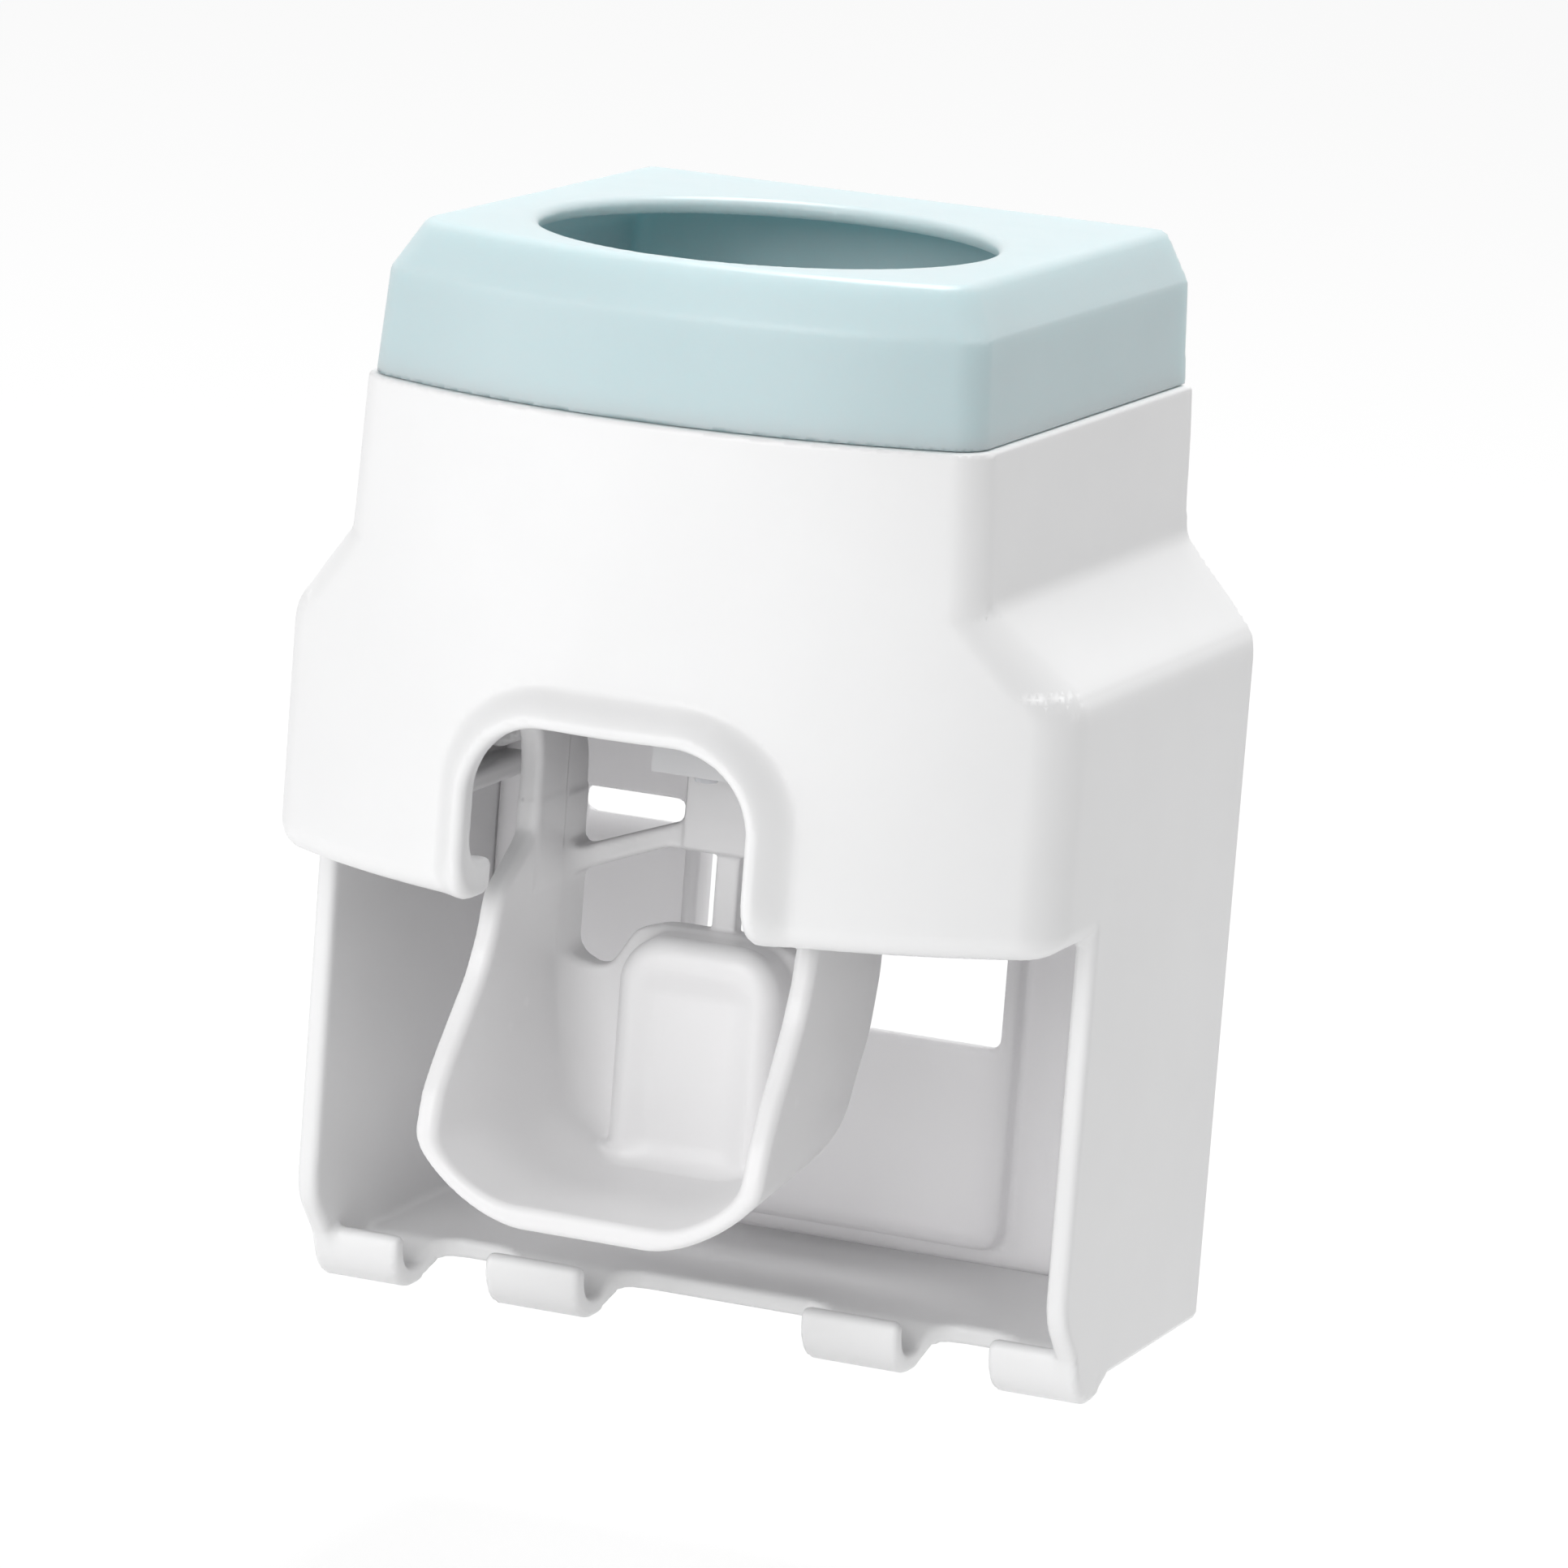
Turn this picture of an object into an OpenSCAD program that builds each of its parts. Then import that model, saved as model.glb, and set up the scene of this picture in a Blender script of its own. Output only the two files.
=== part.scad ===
// Wall-hung toothpaste dispenser with a toothbrush shelf.
// X runs to the right, Y runs back to the wall, Z runs up; the wall face is the plane Y = 0.
// Heights below are counted from the underside of the shelf hooks, and distances in front of
// the wall are positive numbers. Each module is then lowered so that the origin lies on the wall.

/* [Housing] */
// Width across the two side walls
body_w = 90; // [86:0.5:96]
// Width of the neck at its rim
neck_w = 70.4; // [69:0.2:72]
// Distance from the wall to the middle of the bowed front
front_d = 75; // [74:0.25:80]
// Radius of the bow of the front, seen from above
bow_r = 72; // [68:1:90]
// Wall thickness of the housing
wall = 2.4; // [1.8:0.1:3]
// Height of the neck's rim
seam_z = 105.8; // [104.8:0.2:112]
// Height of the foot of the sloped shoulder
shoulder_z = 79.2; // [77:0.2:82]
// Height of the sloped shoulder
shoulder_h = 10.2; // [8:0.2:11.4]
// Height of the lower edge of the housing's front
skirt_z = 52.4; // [51:0.2:53]
// Depth of the rolled lip round the lower edge
skirt_lip = 3.8; // [3:0.1:5]
// Radius of the rolled lower edge
skirt_roll = 3.2; // [1.5:0.1:3.6]
// Upright corner radius of the neck
neck_corner = 6; // [4:0.5:8]
// Upright corner radius of the body
body_corner = 9; // [6:0.5:11]

/* [Arch] */
// Width of the arched opening
arch_w = 31.4; // [30:0.2:34]
// Height of the top of the arch
arch_top = 72.8; // [70:0.1:74]
// Radius of the arch's upper corners
arch_corner = 8.5; // [6:0.5:11]
// Width of the lip raised round the arch
lip_w = 3.4; // [2.4:0.1:4]
// Height of that lip over the bowed front
lip_h = 3; // [1:0.1:4]
// Thickness of the rim round the arch
arch_rim = 2; // [1.5:0.1:2.6]
// Depth of the rim, from the front face inwards
arch_rim_d = 4.5; // [4:0.5:7]

/* [Shelf] */
// Depth of the side walls below the housing
side_d = 46.3; // [44:0.5:50]
// Height of the shelf's underside
shelf_z = 2.3; // [2:0.1:3.5]
// Thickness of the shelf
shelf_t = 2.2; // [1.8:0.1:2.6]
// Distance from the wall to the middle of the hooks' curl
hook_d = 35.5; // [34:0.5:37]
// Outer radius of the hooks' curl
hook_r = 5.2; // [4.8:0.1:5.6]
// Height of the hooks' tips
hook_tip_z = 6.4; // [6:0.1:8]
// Width of the middle notch
mid_notch_w = 26; // [22:0.5:28]
// Width of each side notch, for a toothbrush neck
side_notch_w = 10.4; // [8:0.2:11.5]
// Width of the hook between the middle notch and a side notch
hook_w = 11.3; // [9:0.1:12]
// Distance from the wall to the inner end of the notches
notch_d = 29; // [26:0.5:31]

/* [Rear cover] */
// Thickness of the rear cover
cover_t = 2.4; // [2.2:0.1:3]
// Gap between the rear cover and the housing
cover_gap = 0.2; // [0.1:0.05:0.4]
// Width of the hanging window
window_w = 37.4; // [32:0.2:38]
// Distance of the hanging windows to the right of the middle
window_x = 2.1; // [0:0.1:3]
// Height of the lower edge of the hanging window
window_z = 29.7; // [27:0.1:32]
// Height of the upper edge of the hanging window and of the side windows
window_top = 50.8; // [49.5:0.1:51.2]
// Depth of the pocket frame that stands forward of the wall
pocket_d = 4.9; // [4:0.1:6.4]
// Wall thickness of the pocket frame
pocket_t = 1.8; // [1.4:0.1:2.2]
// Width of each side window
side_window_w = 12.6; // [10:0.2:14]
// Height of the side windows
side_window_h = 5.2; // [4.6:0.1:6]

/* [Tube collar] */
// Height of the collar above the neck's rim
collar_h = 16.7; // [15:0.1:20]
// Step from the neck's face in to the collar's face
collar_inset = 0.8; // [0.5:0.1:1.2]
// Width of the bevel round the collar's top
bevel_w = 3.4; // [2.5:0.1:4]
// Height of the bevel round the collar's top
bevel_h = 5.3; // [4:0.1:6]
// Wall thickness of the collar
collar_wall = 2.4; // [2:0.1:2.8]
// Thickness of the collar's top
collar_top_t = 3; // [2.5:0.1:3.5]
// Width of the tube opening
tube_hole_w = 48; // [44:0.5:50]
// Depth of the tube opening, front to back
tube_hole_d = 54; // [48:0.5:55]
// Length of the spigot that plugs into the neck
spigot_h = 8; // [6:0.5:9]
// Wall thickness of the spigot
spigot_t = 1.8; // [1.4:0.1:2.2]
// Gap between the spigot and the neck
spigot_gap = 0.35; // [0.3:0.05:0.6]

/* [Push cup] */
// Width across the push cup's arms
lever_w = 38.6; // [38:0.1:39]
// Thickness of the arms and of the cup's wall
lever_t = 2.7; // [2.3:0.1:3]
// Distance from the wall to the hinge axis
hinge_d = 51; // [50:0.25:52]
// Height of the hinge axis
hinge_z = 76; // [75.5:0.1:76.5]
// Distance from the wall to the arms' front edges
arm_front_d = 61; // [60:0.25:63]
// Distance from the wall to the arms' front edges inside the housing
arm_neck_d = 53; // [52.5:0.25:56]
// Distance from the wall to the arms' back edges
arm_back_d = 38.6; // [38.3:0.1:39.5]
// Radius of the arms' round upper ends
arm_end_r = 7.5; // [7:0.1:7.8]
// Distance from the wall to the cup's front rim
cup_front_d = 73.5; // [71:0.25:75]
// Height at which the cup's walls narrow into the arms
cup_top_z = 50; // [49:0.25:51]
// Height of the cup's underside
cup_z = 18.5; // [16:0.25:22]
// Radius of the cup's lower corners at its rim
cup_corner = 9; // [7:0.25:10]
// Thickness of the cup's back wall and web
web_t = 2.4; // [1.8:0.1:2.8]
// Width of the upright rib in the web
rib_w = 2.2; // [1.8:0.1:3]
// Width of the pressed pad in the cup
pad_w = 16.8; // [14:0.2:18]
// Distance that the pad stands forward of the cup's back wall
pad_h = 8.6; // [6:0.1:9.5]
// Width of the raised border round the pad's face
pad_border = 2; // [1.5:0.1:3]
// Swing of the push cup from rest to its stop, in degrees
swing = 14; // [8:0.5:14]

/* [Pump] */
// Height of the pump cylinder's axis
pump_z = 60; // [59.5:0.1:60.4]
// Radius of the pump cylinder's bore
bore_r = 7; // [6:0.1:7.2]
// Wall thickness of the pump cylinder
barrel_t = 2; // [1.6:0.1:2]
// Distance from the wall to the cylinder's closed end
barrel_back_d = 7; // [6.8:0.1:8]
// Distance from the wall to the cylinder's open end
barrel_front_d = 21; // [20.5:0.1:21.5]
// Thickness of the cylinder's closed end
barrel_end_t = 2; // [1.5:0.1:2.5]
// Radial running clearance of the piston, the rod and the hinge pins
run_gap = 0.05; // [0.02:0.01:0.08]
// Length of the piston's head
piston_l = 4.5; // [4:0.1:5]
// Radius of the piston rod
rod_r = 2.5; // [2:0.1:2.8]
// Radius of the disc that the push cup presses
disc_r = 6.5; // [6:0.1:7]
// Thickness of the pressed disc
disc_t = 2; // [1.5:0.1:2.5]
// Radius of the nose that presses the disc
nose_r = 3.5; // [3:0.1:4]
// Distance from the wall to the middle of the nose
nose_d = 38; // [37.5:0.1:38.5]
// Gap between the nose and the disc at rest
nose_gap = 0.25; // [0.2:0.05:0.4]
// Thickness of the cylinder's gland cap
gland_t = 2.5; // [2:0.1:3]
// Wire thickness of the return spring
wire = 0.7; // [0.5:0.05:0.8]
// Turns of the return spring
turns = 4.5; // [3.5:0.5:5]
// Mean radius of the return spring
spring_r = 5.2; // [5:0.1:5.6]

/* [Tube socket and nozzle] */
// Distance from the wall to the axis of the toothpaste tube
tube_d = 40.6; // [39.5:0.1:41.5]
// Radius of the bore that grips the tube's neck
tube_bore_r = 4.8; // [4.2:0.1:5.5]
// Length of the bore that grips the tube's neck
tube_bore_l = 7; // [5:0.25:8]
// Radius of the soft seal
seal_r = 9.5; // [8.5:0.1:10]
// Thickness of the soft seal's lower lip
seal_lip = 1.2; // [0.8:0.1:1.6]
// Wall thickness of the tube socket
socket_t = 2.4; // [2:0.1:3]
// Thickness of the ring that holds the seal down
ring_t = 2; // [1.5:0.1:2.5]
// Thickness of the inlet flap valve
flap_t = 1; // [0.8:0.1:1.2]
// Distance from the wall to the nozzle's axis
nozzle_d = 47; // [46.5:0.1:47.5]
// Half the width of the square nozzle
nozzle_r = 4.6; // [4.4:0.1:4.8]
// Length of the nozzle below the pump block
nozzle_h = 4; // [3.6:0.1:4.2]

/* [Pump frame] */
// Thickness of the deck over the pump
deck_t = 2.5; // [2:0.1:3]
// Gap between the arms and the cheeks that carry them
cheek_gap = 1; // [0.6:0.1:1.5]
// Thickness of the cheeks
cheek_t = 2.4; // [2:0.1:3]
// Radius of the hinge pins
pin_r = 2; // [1.6:0.1:2.4]
// Thickness of the hinge pins' heads
pin_head_t = 0.8; // [0.6:0.1:1.2]
// Thickness of the clips on the hinge pins
clip_t = 0.8; // [0.6:0.1:1.2]

/* [Screws] */
// Radius of the screws
screw_r = 1.5; // [1.2:0.1:1.6]
// Radius of the screws' heads
head_r = 2.8; // [2.4:0.1:3]
// Thickness of the screws' heads
head_t = 1.3; // [1:0.1:1.5]
// Length of the screws under their heads
screw_l = 8; // [6:0.5:9]
// Radius of the screw bosses
boss_r = 3.4; // [3.1:0.1:3.6]

/* [Hidden] */
// Height of the origin, which lies on the wall, above the underside of the hooks
hang_z = 60;
// Smallest overlap between shapes that are joined, and run-out of cuts
eps = 0.4;
cut = 2;
// Faces of a full circle on the exact round shapes
$fn = 48;
// Points in each corner and along the bow of a plan outline
corner_n = 5;
bow_n = 14;

body_hw = body_w/2;
neck_hw = neck_w/2;
bow_y = bow_r - front_d;
neck_foot_z = shoulder_z + shoulder_h;
neck_draft = 0.6;
inner_hw = body_hw - wall;
shelf_top = shelf_z + shelf_t;
hook_in_r = hook_r - shelf_t;

// Push cup
lever_hw = lever_w/2;
arm_in = lever_hw - lever_t;
cup_join_z = cup_top_z + 6;
web_front_d = arm_back_d + web_t;

// Pump
chamber_back_d = barrel_back_d + barrel_end_t;
barrel_r = bore_r + barrel_t;
block_z = pump_z + 9;
deck_z = hinge_z + arm_end_r + 1;
deck_top = deck_z + deck_t;
block_hw = 9.5;
block_front_d = nozzle_d + nozzle_r;
gland_front_d = barrel_front_d + gland_t;
gland_plug = 1.5;
piston_front_d = barrel_front_d - gland_plug - 0.2;
piston_back_d = piston_front_d - piston_l;
disc_front_d = nose_d - nose_r - nose_gap;
disc_back_d = disc_front_d - disc_t;
hub_l = 2.6;
hub_r = spring_r - wire/2 - 0.6;
stem_r = rod_r - 0.9;
duct_r = 3;
valve_duct_r = 2;
inlet_z = deck_z - 5;
outlet_z = block_z + 3.5;
duct_x = 3.2;
duct_end_d = chamber_back_d + 3;
nose_drop = hinge_z - pump_z;
nose_ahead = hinge_d - nose_d;
// Travel of the piston at the end of the swing, from the nose's circle about the hinge
stroke = nose_drop*sin(swing) - nose_ahead*(1 - cos(swing));

// Tube socket
socket_r = seal_r + socket_t;
flap_z = deck_top + 1;
seal_z = flap_z + flap_t;
socket_top = seal_z + seal_lip + tube_bore_l + gland_plug;

// Pump frame
cheek_in = lever_hw + cheek_gap;
cheek_out = cheek_in + cheek_t;
flange_t = 3;
flange_hw = 22;
flange_z = block_z + 1;
flange_top = deck_top + 9;

// Screws
pump_screw_x = 17;
pump_screw_z = [flange_z + boss_r + 0.6, flange_top - boss_r - 0.6];
body_screw_x = inner_hw - boss_r - 0.2;
body_screw_z = skirt_z + 8;
neck_screw_x = neck_hw - wall - boss_r - 0.4;
neck_screw_z = seam_z - spigot_h - boss_r - 2;

// Helpers

// Lowers a shape so that its origin is the hanging point on the wall
module place() {
  translate([0, 0, -hang_z]) children();
}

// Extrudes an outline in X and Z between two distances in front of the wall
module between(back_d, front_d) {
  translate([0, -back_d, 0]) rotate([90, 0, 0]) linear_extrude(front_d - back_d) children();
}

// Extrudes an outline in Y and Z between two places on X
module across(x0, x1) {
  translate([x0, 0, 0]) rotate([90, 0, 90]) linear_extrude(x1 - x0) children();
}

// Round bar or bore along Y, between two distances in front of the wall
module rod_y(x, z, r, back_d, front_d) {
  translate([x, -back_d, z]) rotate([90, 0, 0]) cylinder(r = r, h = front_d - back_d);
}

// Block from one corner to the other, with distances in front of the wall for Y
module block(x0, x1, back_d, front_d, z0, z1) {
  translate([x0, -front_d, z0]) cube([x1 - x0, front_d - back_d, z1 - z0]);
}

// Both a shape and its mirror image
module pair() {
  children();
  mirror([1, 0, 0]) children();
}

// Points along an arc
function arc(centre, r, a0, a1, n) =
  [for (i = [0:n]) let (a = a0 + (a1 - a0)*i/n) centre + r*[cos(a), sin(a)]];

// Points that round the corner b between a and c
function fillet(a, b, c, r, n) =
  r <= 0 ? [b] :
  let (u = (a - b)/norm(a - b),
    v = (c - b)/norm(c - b),
    half = acos(u*v)/2,
    centre = b + (u + v)/norm(u + v)*r/sin(half),
    s = b + u*r/tan(half) - centre,
    e = b + v*r/tan(half) - centre,
    a0 = atan2(s[1], s[0]),
    a1 = atan2(e[1], e[0]),
    turn = a1 - a0 > 180 ? a1 - a0 - 360 : a1 - a0 < -180 ? a1 - a0 + 360 : a1 - a0)
  arc(centre, r, a0, a0 + turn, n);

function xy(p) = [p[0], p[1]];

// Closed outline through [x, y, radius] corners
function rounded(corners, n = 6) =
  let (m = len(corners))
  [for (i = [0:m - 1])
    each fillet(xy(corners[(i + m - 1) % m]), xy(corners[i]), xy(corners[(i + 1) % m]),
      corners[i][2], n)];

// Open line through [x, y, radius] corners, with its two ends kept
function rounded_line(corners, n = 6) =
  let (m = len(corners))
  [xy(corners[0]),
    for (i = [1:m - 2])
      each fillet(xy(corners[i - 1]), xy(corners[i]), xy(corners[i + 1]), corners[i][2], n),
    xy(corners[m - 1])];

function box_corners(x0, x1, y0, y1, r) =
  [[x0, y0, r], [x1, y0, r], [x1, y1, r], [x0, y1, r]];

function mirrored(line) = [for (i = [len(line) - 1:-1:0]) [-line[i][0], line[i][1]]];

// Solid through rings of equal length, stacked so that each ring runs anticlockwise when it is
// seen from the last ring's side
module loft(rings) {
  n = len(rings[0]);
  m = len(rings);
  sides = [for (i = [0:m - 2], j = [0:n - 1])
    let (a = i*n + j,
      b = i*n + (j + 1) % n,
      c = b + n,
      d = a + n)
    each [[a, d, c], [a, c, b]]];
  first = [for (j = [0:n - 1]) j];
  last = [for (j = [n - 1:-1:0]) (m - 1)*n + j];
  polyhedron(points = [for (ring = rings) each ring], faces = concat([first], sides, [last]));
}

// Outline seen from above: straight sides, a bowed front and round front corners
function plan(hw, r, bow, back) =
  let (cx = hw - r,
    cy = bow_y - sqrt(pow(bow - r, 2) - cx*cx),
    tilt = atan2(bow_y - cy, cx))
  concat([[hw, back], [-hw, back]],
    arc([-cx, cy], r, 180, 180 + tilt, corner_n),
    [for (i = [1:bow_n - 1])
      let (a = 180 + tilt + (180 - 2*tilt)*i/bow_n) [0, bow_y] + bow*[cos(a), sin(a)]],
    arc([cx, cy], r, -tilt, 0, corner_n));

function lifted(outline, z) = [for (p = outline) [p[0], p[1], z]];

// Housing

// Half width of the housing against height, from the skirt up to the neck's rim
body_line = rounded_line([
  [body_hw, skirt_z + skirt_roll, 0],
  [body_hw, shoulder_z, 6],
  [neck_hw + neck_draft, neck_foot_z, 3],
  [neck_hw, seam_z, 0]], 5);

function body_r(hw) =
  neck_corner + (body_corner - neck_corner)*(hw - neck_hw)/(body_hw - neck_hw);

function body_ring(hw, z, inset, back) =
  lifted(plan(hw - inset, body_r(hw) - inset/2, bow_r - inset, back), z);

module outer_form() {
  roll = [for (a = [0:22.5:67.5]) [skirt_roll*(1 - sin(a)), skirt_roll*(1 - cos(a))]];
  loft(concat(
    [for (p = roll) body_ring(body_hw, skirt_z + p[1], p[0], 0)],
    [for (p = body_line) body_ring(p[0], p[1], 0, 0)]));
}

module inner_form() {
  loft(concat(
    [for (z = [skirt_z - cut, skirt_z + wall]) body_ring(body_hw, z, wall + skirt_lip, cut)],
    [for (z = [skirt_z + wall + 0.05]) body_ring(body_hw, z, wall, cut)],
    [for (i = [1:len(body_line) - 2])
      body_ring(body_line[i][0], body_line[i][1] - wall/3, wall, cut)],
    [body_ring(neck_hw, seam_z + cut, wall, cut)]));
}

// Arch outline, grown by a margin
function arch_line(grow) =
  let (right = concat(
    [[arch_w/2 + grow, skirt_z - cut]],
    arc([arch_w/2 - arch_corner, arch_top - arch_corner], arch_corner + grow, 0, 90, 6)))
  concat(right, mirrored(right));

// Lip that follows the arch and stands proud of the bowed front
module arch_lip() {
  intersection() {
    translate([0, bow_y, skirt_z + 1])
      cylinder(r = bow_r + lip_h, h = arch_top + lip_w - skirt_z);
    between(front_d - arch_rim_d, front_d + lip_h + cut) polygon(arch_line(lip_w));
  }
}

module side_wall() {
  back_r = 1.5;
  across(inner_hw, body_hw)
    polygon(rounded([[0, shelf_z, back_r], [0, skirt_z + 12, 0], [-side_d, skirt_z + 12, 0],
      [-side_d, hook_r + 6, 7], [-hook_d - hook_r + 0.4, hook_r - 0.5, 0.5],
      [-hook_d, shelf_z, 0]]));
}

// Section of the shelf's front edge: a dip, then a curl up to the tip
module hook_section() {
  back_y = -notch_d + 2;
  polygon(concat(
    [[back_y, shelf_z], [-hook_d + 3, shelf_z]],
    arc([-hook_d, hook_r], hook_r, 270, 180, 8),
    [[-hook_d - hook_r, hook_tip_z], [-hook_d - hook_in_r, hook_tip_z]],
    arc([-hook_d, hook_r], hook_in_r, 180, 270, 8),
    [[-hook_d + 3, shelf_top], [back_y, shelf_top]]));
}

// Notch seen from above, with round inner corners
module notch(x0, x1) {
  r = 3;
  y1 = -notch_d;
  polygon(rounded([[x0, y1, r], [x0, -hook_d - hook_r - cut, 0],
    [x1, -hook_d - hook_r - cut, 0], [x1, y1, r]]));
}

notch_x = mid_notch_w/2 + hook_w;

module shelf() {
  difference() {
    union() {
      across(-body_hw, body_hw) hook_section();
      block(-inner_hw - eps, inner_hw + eps, 0, notch_d, shelf_z, shelf_top);
    }
    translate([0, 0, -cut]) linear_extrude(hook_r + hook_tip_z + cut) {
      notch(-mid_notch_w/2, mid_notch_w/2);
      notch(notch_x, notch_x + side_notch_w);
      notch(-notch_x - side_notch_w, -notch_x);
    }
  }
}

// Post for a screw from behind, with its web to the nearest wall
module post(x, z, wall_x) {
  rod_y(x, z, boss_r, cover_t, screw_l + 5);
  block(x, wall_x, cover_t, screw_l + 5, z - 1.2, z + 1.2);
}

module screw_bores(x, z) {
  rod_y(x, z, screw_r, -cut, screw_l + head_t + 0.5);
}

module housing() {
  color([0.93, 0.93, 0.94]) place() difference() {
    union() {
      difference() {
        union() {
          difference() {
            outer_form();
            inner_form();
          }
          intersection() {
            outer_form();
            between(front_d - arch_rim_d, front_d + cut) difference() {
              polygon(arch_line(arch_rim));
              translate([-body_w/2, skirt_z - 3*cut]) square([body_w, 3*cut]);
            }
          }
          arch_lip();
        }
        between(arm_front_d - 1, front_d + lip_h + cut) polygon(arch_line(0));
      }
      pair() side_wall();
      shelf();
      pair() post(body_screw_x, body_screw_z, body_hw - wall/2);
      pair() post(neck_screw_x, neck_screw_z, neck_hw - wall/2);
    }
    pair() screw_bores(body_screw_x, body_screw_z);
    pair() screw_bores(neck_screw_x, neck_screw_z);
    between(-cut, cover_t + 0.1)
      translate([-inner_hw, skirt_z - 1]) square([2*inner_hw, wall + 2]);
  }
}

// Rear cover

pocket_hw = window_w/2 + pocket_t;
pocket_z = shelf_top + 2.1;

module cover_outline() {
  half = [[inner_hw - cover_gap, shelf_top + cover_gap],
    [inner_hw - cover_gap, shoulder_z - 2],
    [neck_hw - wall - cover_gap, neck_foot_z],
    [neck_hw - wall - cover_gap, seam_z - 0.2]];
  polygon(concat(half, mirrored(half)));
}

module pocket_outline(inset) {
  translate([window_x, 0]) polygon(rounded(box_corners(-pocket_hw + inset, pocket_hw - inset, pocket_z + inset,
    window_top + pocket_t - inset, 2.5 - inset/2)));
}

module rear_cover() {
  color([0.86, 0.85, 0.87]) place() difference() {
    union() {
      between(0, cover_t) cover_outline();
      between(0, pocket_d) pocket_outline(0);
    }
    between(-cut, pocket_d - pocket_t) intersection() {
      pocket_outline(pocket_t);
      translate([window_x - pocket_hw, pocket_z])
        square([2*pocket_hw, window_z - pocket_z + eps]);
    }
    translate([window_x, 0, 0]) between(-cut, pocket_d + cut)
      polygon(rounded(box_corners(-window_w/2, window_w/2, window_z, window_top, 1.5)));
    translate([window_x, 0, 0]) pair() between(-cut, pocket_d + cut)
      polygon(rounded(box_corners(pocket_hw + 1.2, pocket_hw + 1.2 + side_window_w,
        window_top - side_window_h + 1.2, window_top + 1.2, 1)));
    pair() screw_seat(body_screw_x, body_screw_z);
    pair() screw_seat(neck_screw_x, neck_screw_z);
    pair() for (z = pump_screw_z) screw_seat(pump_screw_x, z);
  }
}

// Clearance bore and head recess in the rear cover
module screw_seat(x, z) {
  rod_y(x, z, screw_r + 0.2, -cut, cover_t + cut);
  rod_y(x, z, head_r + 0.2, -cut, head_t + 0.1);
}

// Tube collar

collar_hw = neck_hw - collar_inset;
collar_top = seam_z + collar_h;

function collar_ring(z, inset) =
  lifted(plan(collar_hw - inset, neck_corner - collar_inset - inset/3,
    bow_r - collar_inset - inset, 0), z);

function collar_void(z, inset, back) =
  lifted(plan(collar_hw - inset, neck_corner - collar_inset - inset/3,
    bow_r - collar_inset - inset, -back), z);

module tube_hole(margin, z0, z1) {
  hull_scale = (tube_hole_d + 2*margin)/(tube_hole_w + 2*margin);
  translate([0, -tube_d, z0]) linear_extrude(z1 - z0)
    polygon([for (a = [0:6:354])
      (tube_hole_w/2 + margin)*[cos(a), hull_scale*sin(a)]]);
}

module tube_collar() {
  spigot_in = wall - collar_inset + spigot_gap;
  spigot_back = cover_t + spigot_gap;
  void_in = spigot_in + spigot_t;
  color([0.76, 0.87, 0.87]) place() difference() {
    union() {
      loft([collar_ring(seam_z + 0.05, 0), collar_ring(collar_top - bevel_h, 0.7),
        collar_ring(collar_top, bevel_w)]);
      loft([for (z = [seam_z - spigot_h, seam_z + 1]) collar_void(z, spigot_in, spigot_back)]);
    }
    loft([
      collar_void(seam_z - spigot_h - cut, void_in, spigot_back + spigot_t),
      collar_void(collar_top - bevel_h, void_in, spigot_back + spigot_t),
      collar_void(collar_top - collar_top_t, void_in + 1.2, spigot_back + spigot_t)]);
    tube_hole(0, collar_top - collar_top_t - cut, collar_top + cut);
  }
}

// Push cup

function standing(outline, d) = [for (p = outline) [p[0], -d, p[1]]];

// Right half of the cup's outline, at the rim or at the back wall, inset by a wall thickness
function cup_half(rim, inset) =
  let (foot_hw = rim ? lever_hw + 0.4 : lever_hw - 3.7,
    waist_hw = rim ? lever_hw + 0.9 : lever_hw - 1.4,
    corner = rim ? cup_corner : cup_corner + 3,
    floor_z = cup_z + (rim ? inset*1.2 : inset),
    waist = [waist_hw - inset, cup_z + 17])
  concat([[0, floor_z]],
    fillet([0, floor_z], [foot_hw - inset, floor_z], waist, corner - inset, 5),
    [waist, [lever_hw - inset, cup_top_z - 6], [lever_hw - inset, cup_join_z]]);

// Ring from the top left, down and round to the top right
function cup_ring(rim, inset, d) =
  let (half = cup_half(rim, inset))
  standing(concat([for (i = [len(half) - 1:-1:1]) [-half[i][0], half[i][1]]], half), d);

module cup_form(inset, back_d, front_d) {
  loft([cup_ring(false, inset, back_d), cup_ring(true, inset, front_d)]);
}

// Side view of the cup below the arms
module cup_side() {
  polygon(concat(
    rounded_line([[-arm_neck_d, cup_join_z, 0], [-arm_neck_d, cup_top_z + 5, 0],
      [-arm_front_d, cup_top_z + 2, 0], [-arm_front_d, cup_top_z - 2.5, 14],
      [-cup_front_d, cup_z + 12.2, 12], [-cup_front_d, cup_z - 1, 0]]),
    rounded_line([[-arm_back_d - 7, cup_z - 1, 0], [-arm_back_d - 1.5, cup_z + 0.5, 2.5],
      [-arm_back_d, cup_z + 6, 4], [-arm_back_d, cup_join_z, 0]])));
}

// Side view of an arm, from the cup up to its round end on the hinge
module arm_side() {
  translate([-hinge_d, hinge_z]) circle(arm_end_r);
  polygon([[-arm_neck_d, cup_join_z - eps], [-arm_back_d, cup_join_z - eps],
    [-arm_back_d, hinge_z - 11], [-hinge_d + arm_end_r, hinge_z],
    [-hinge_d - arm_end_r, hinge_z], [-arm_neck_d, hinge_z - 9]]);
}

// Web between the arms: a back wall below a window, and struts that rise to the nose
strut_foot = 53.4;
strut_head = pump_z - 2.1;
head_hw = 4.4;
sill_z = 40.6;
hump_z = 46.3;

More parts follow.
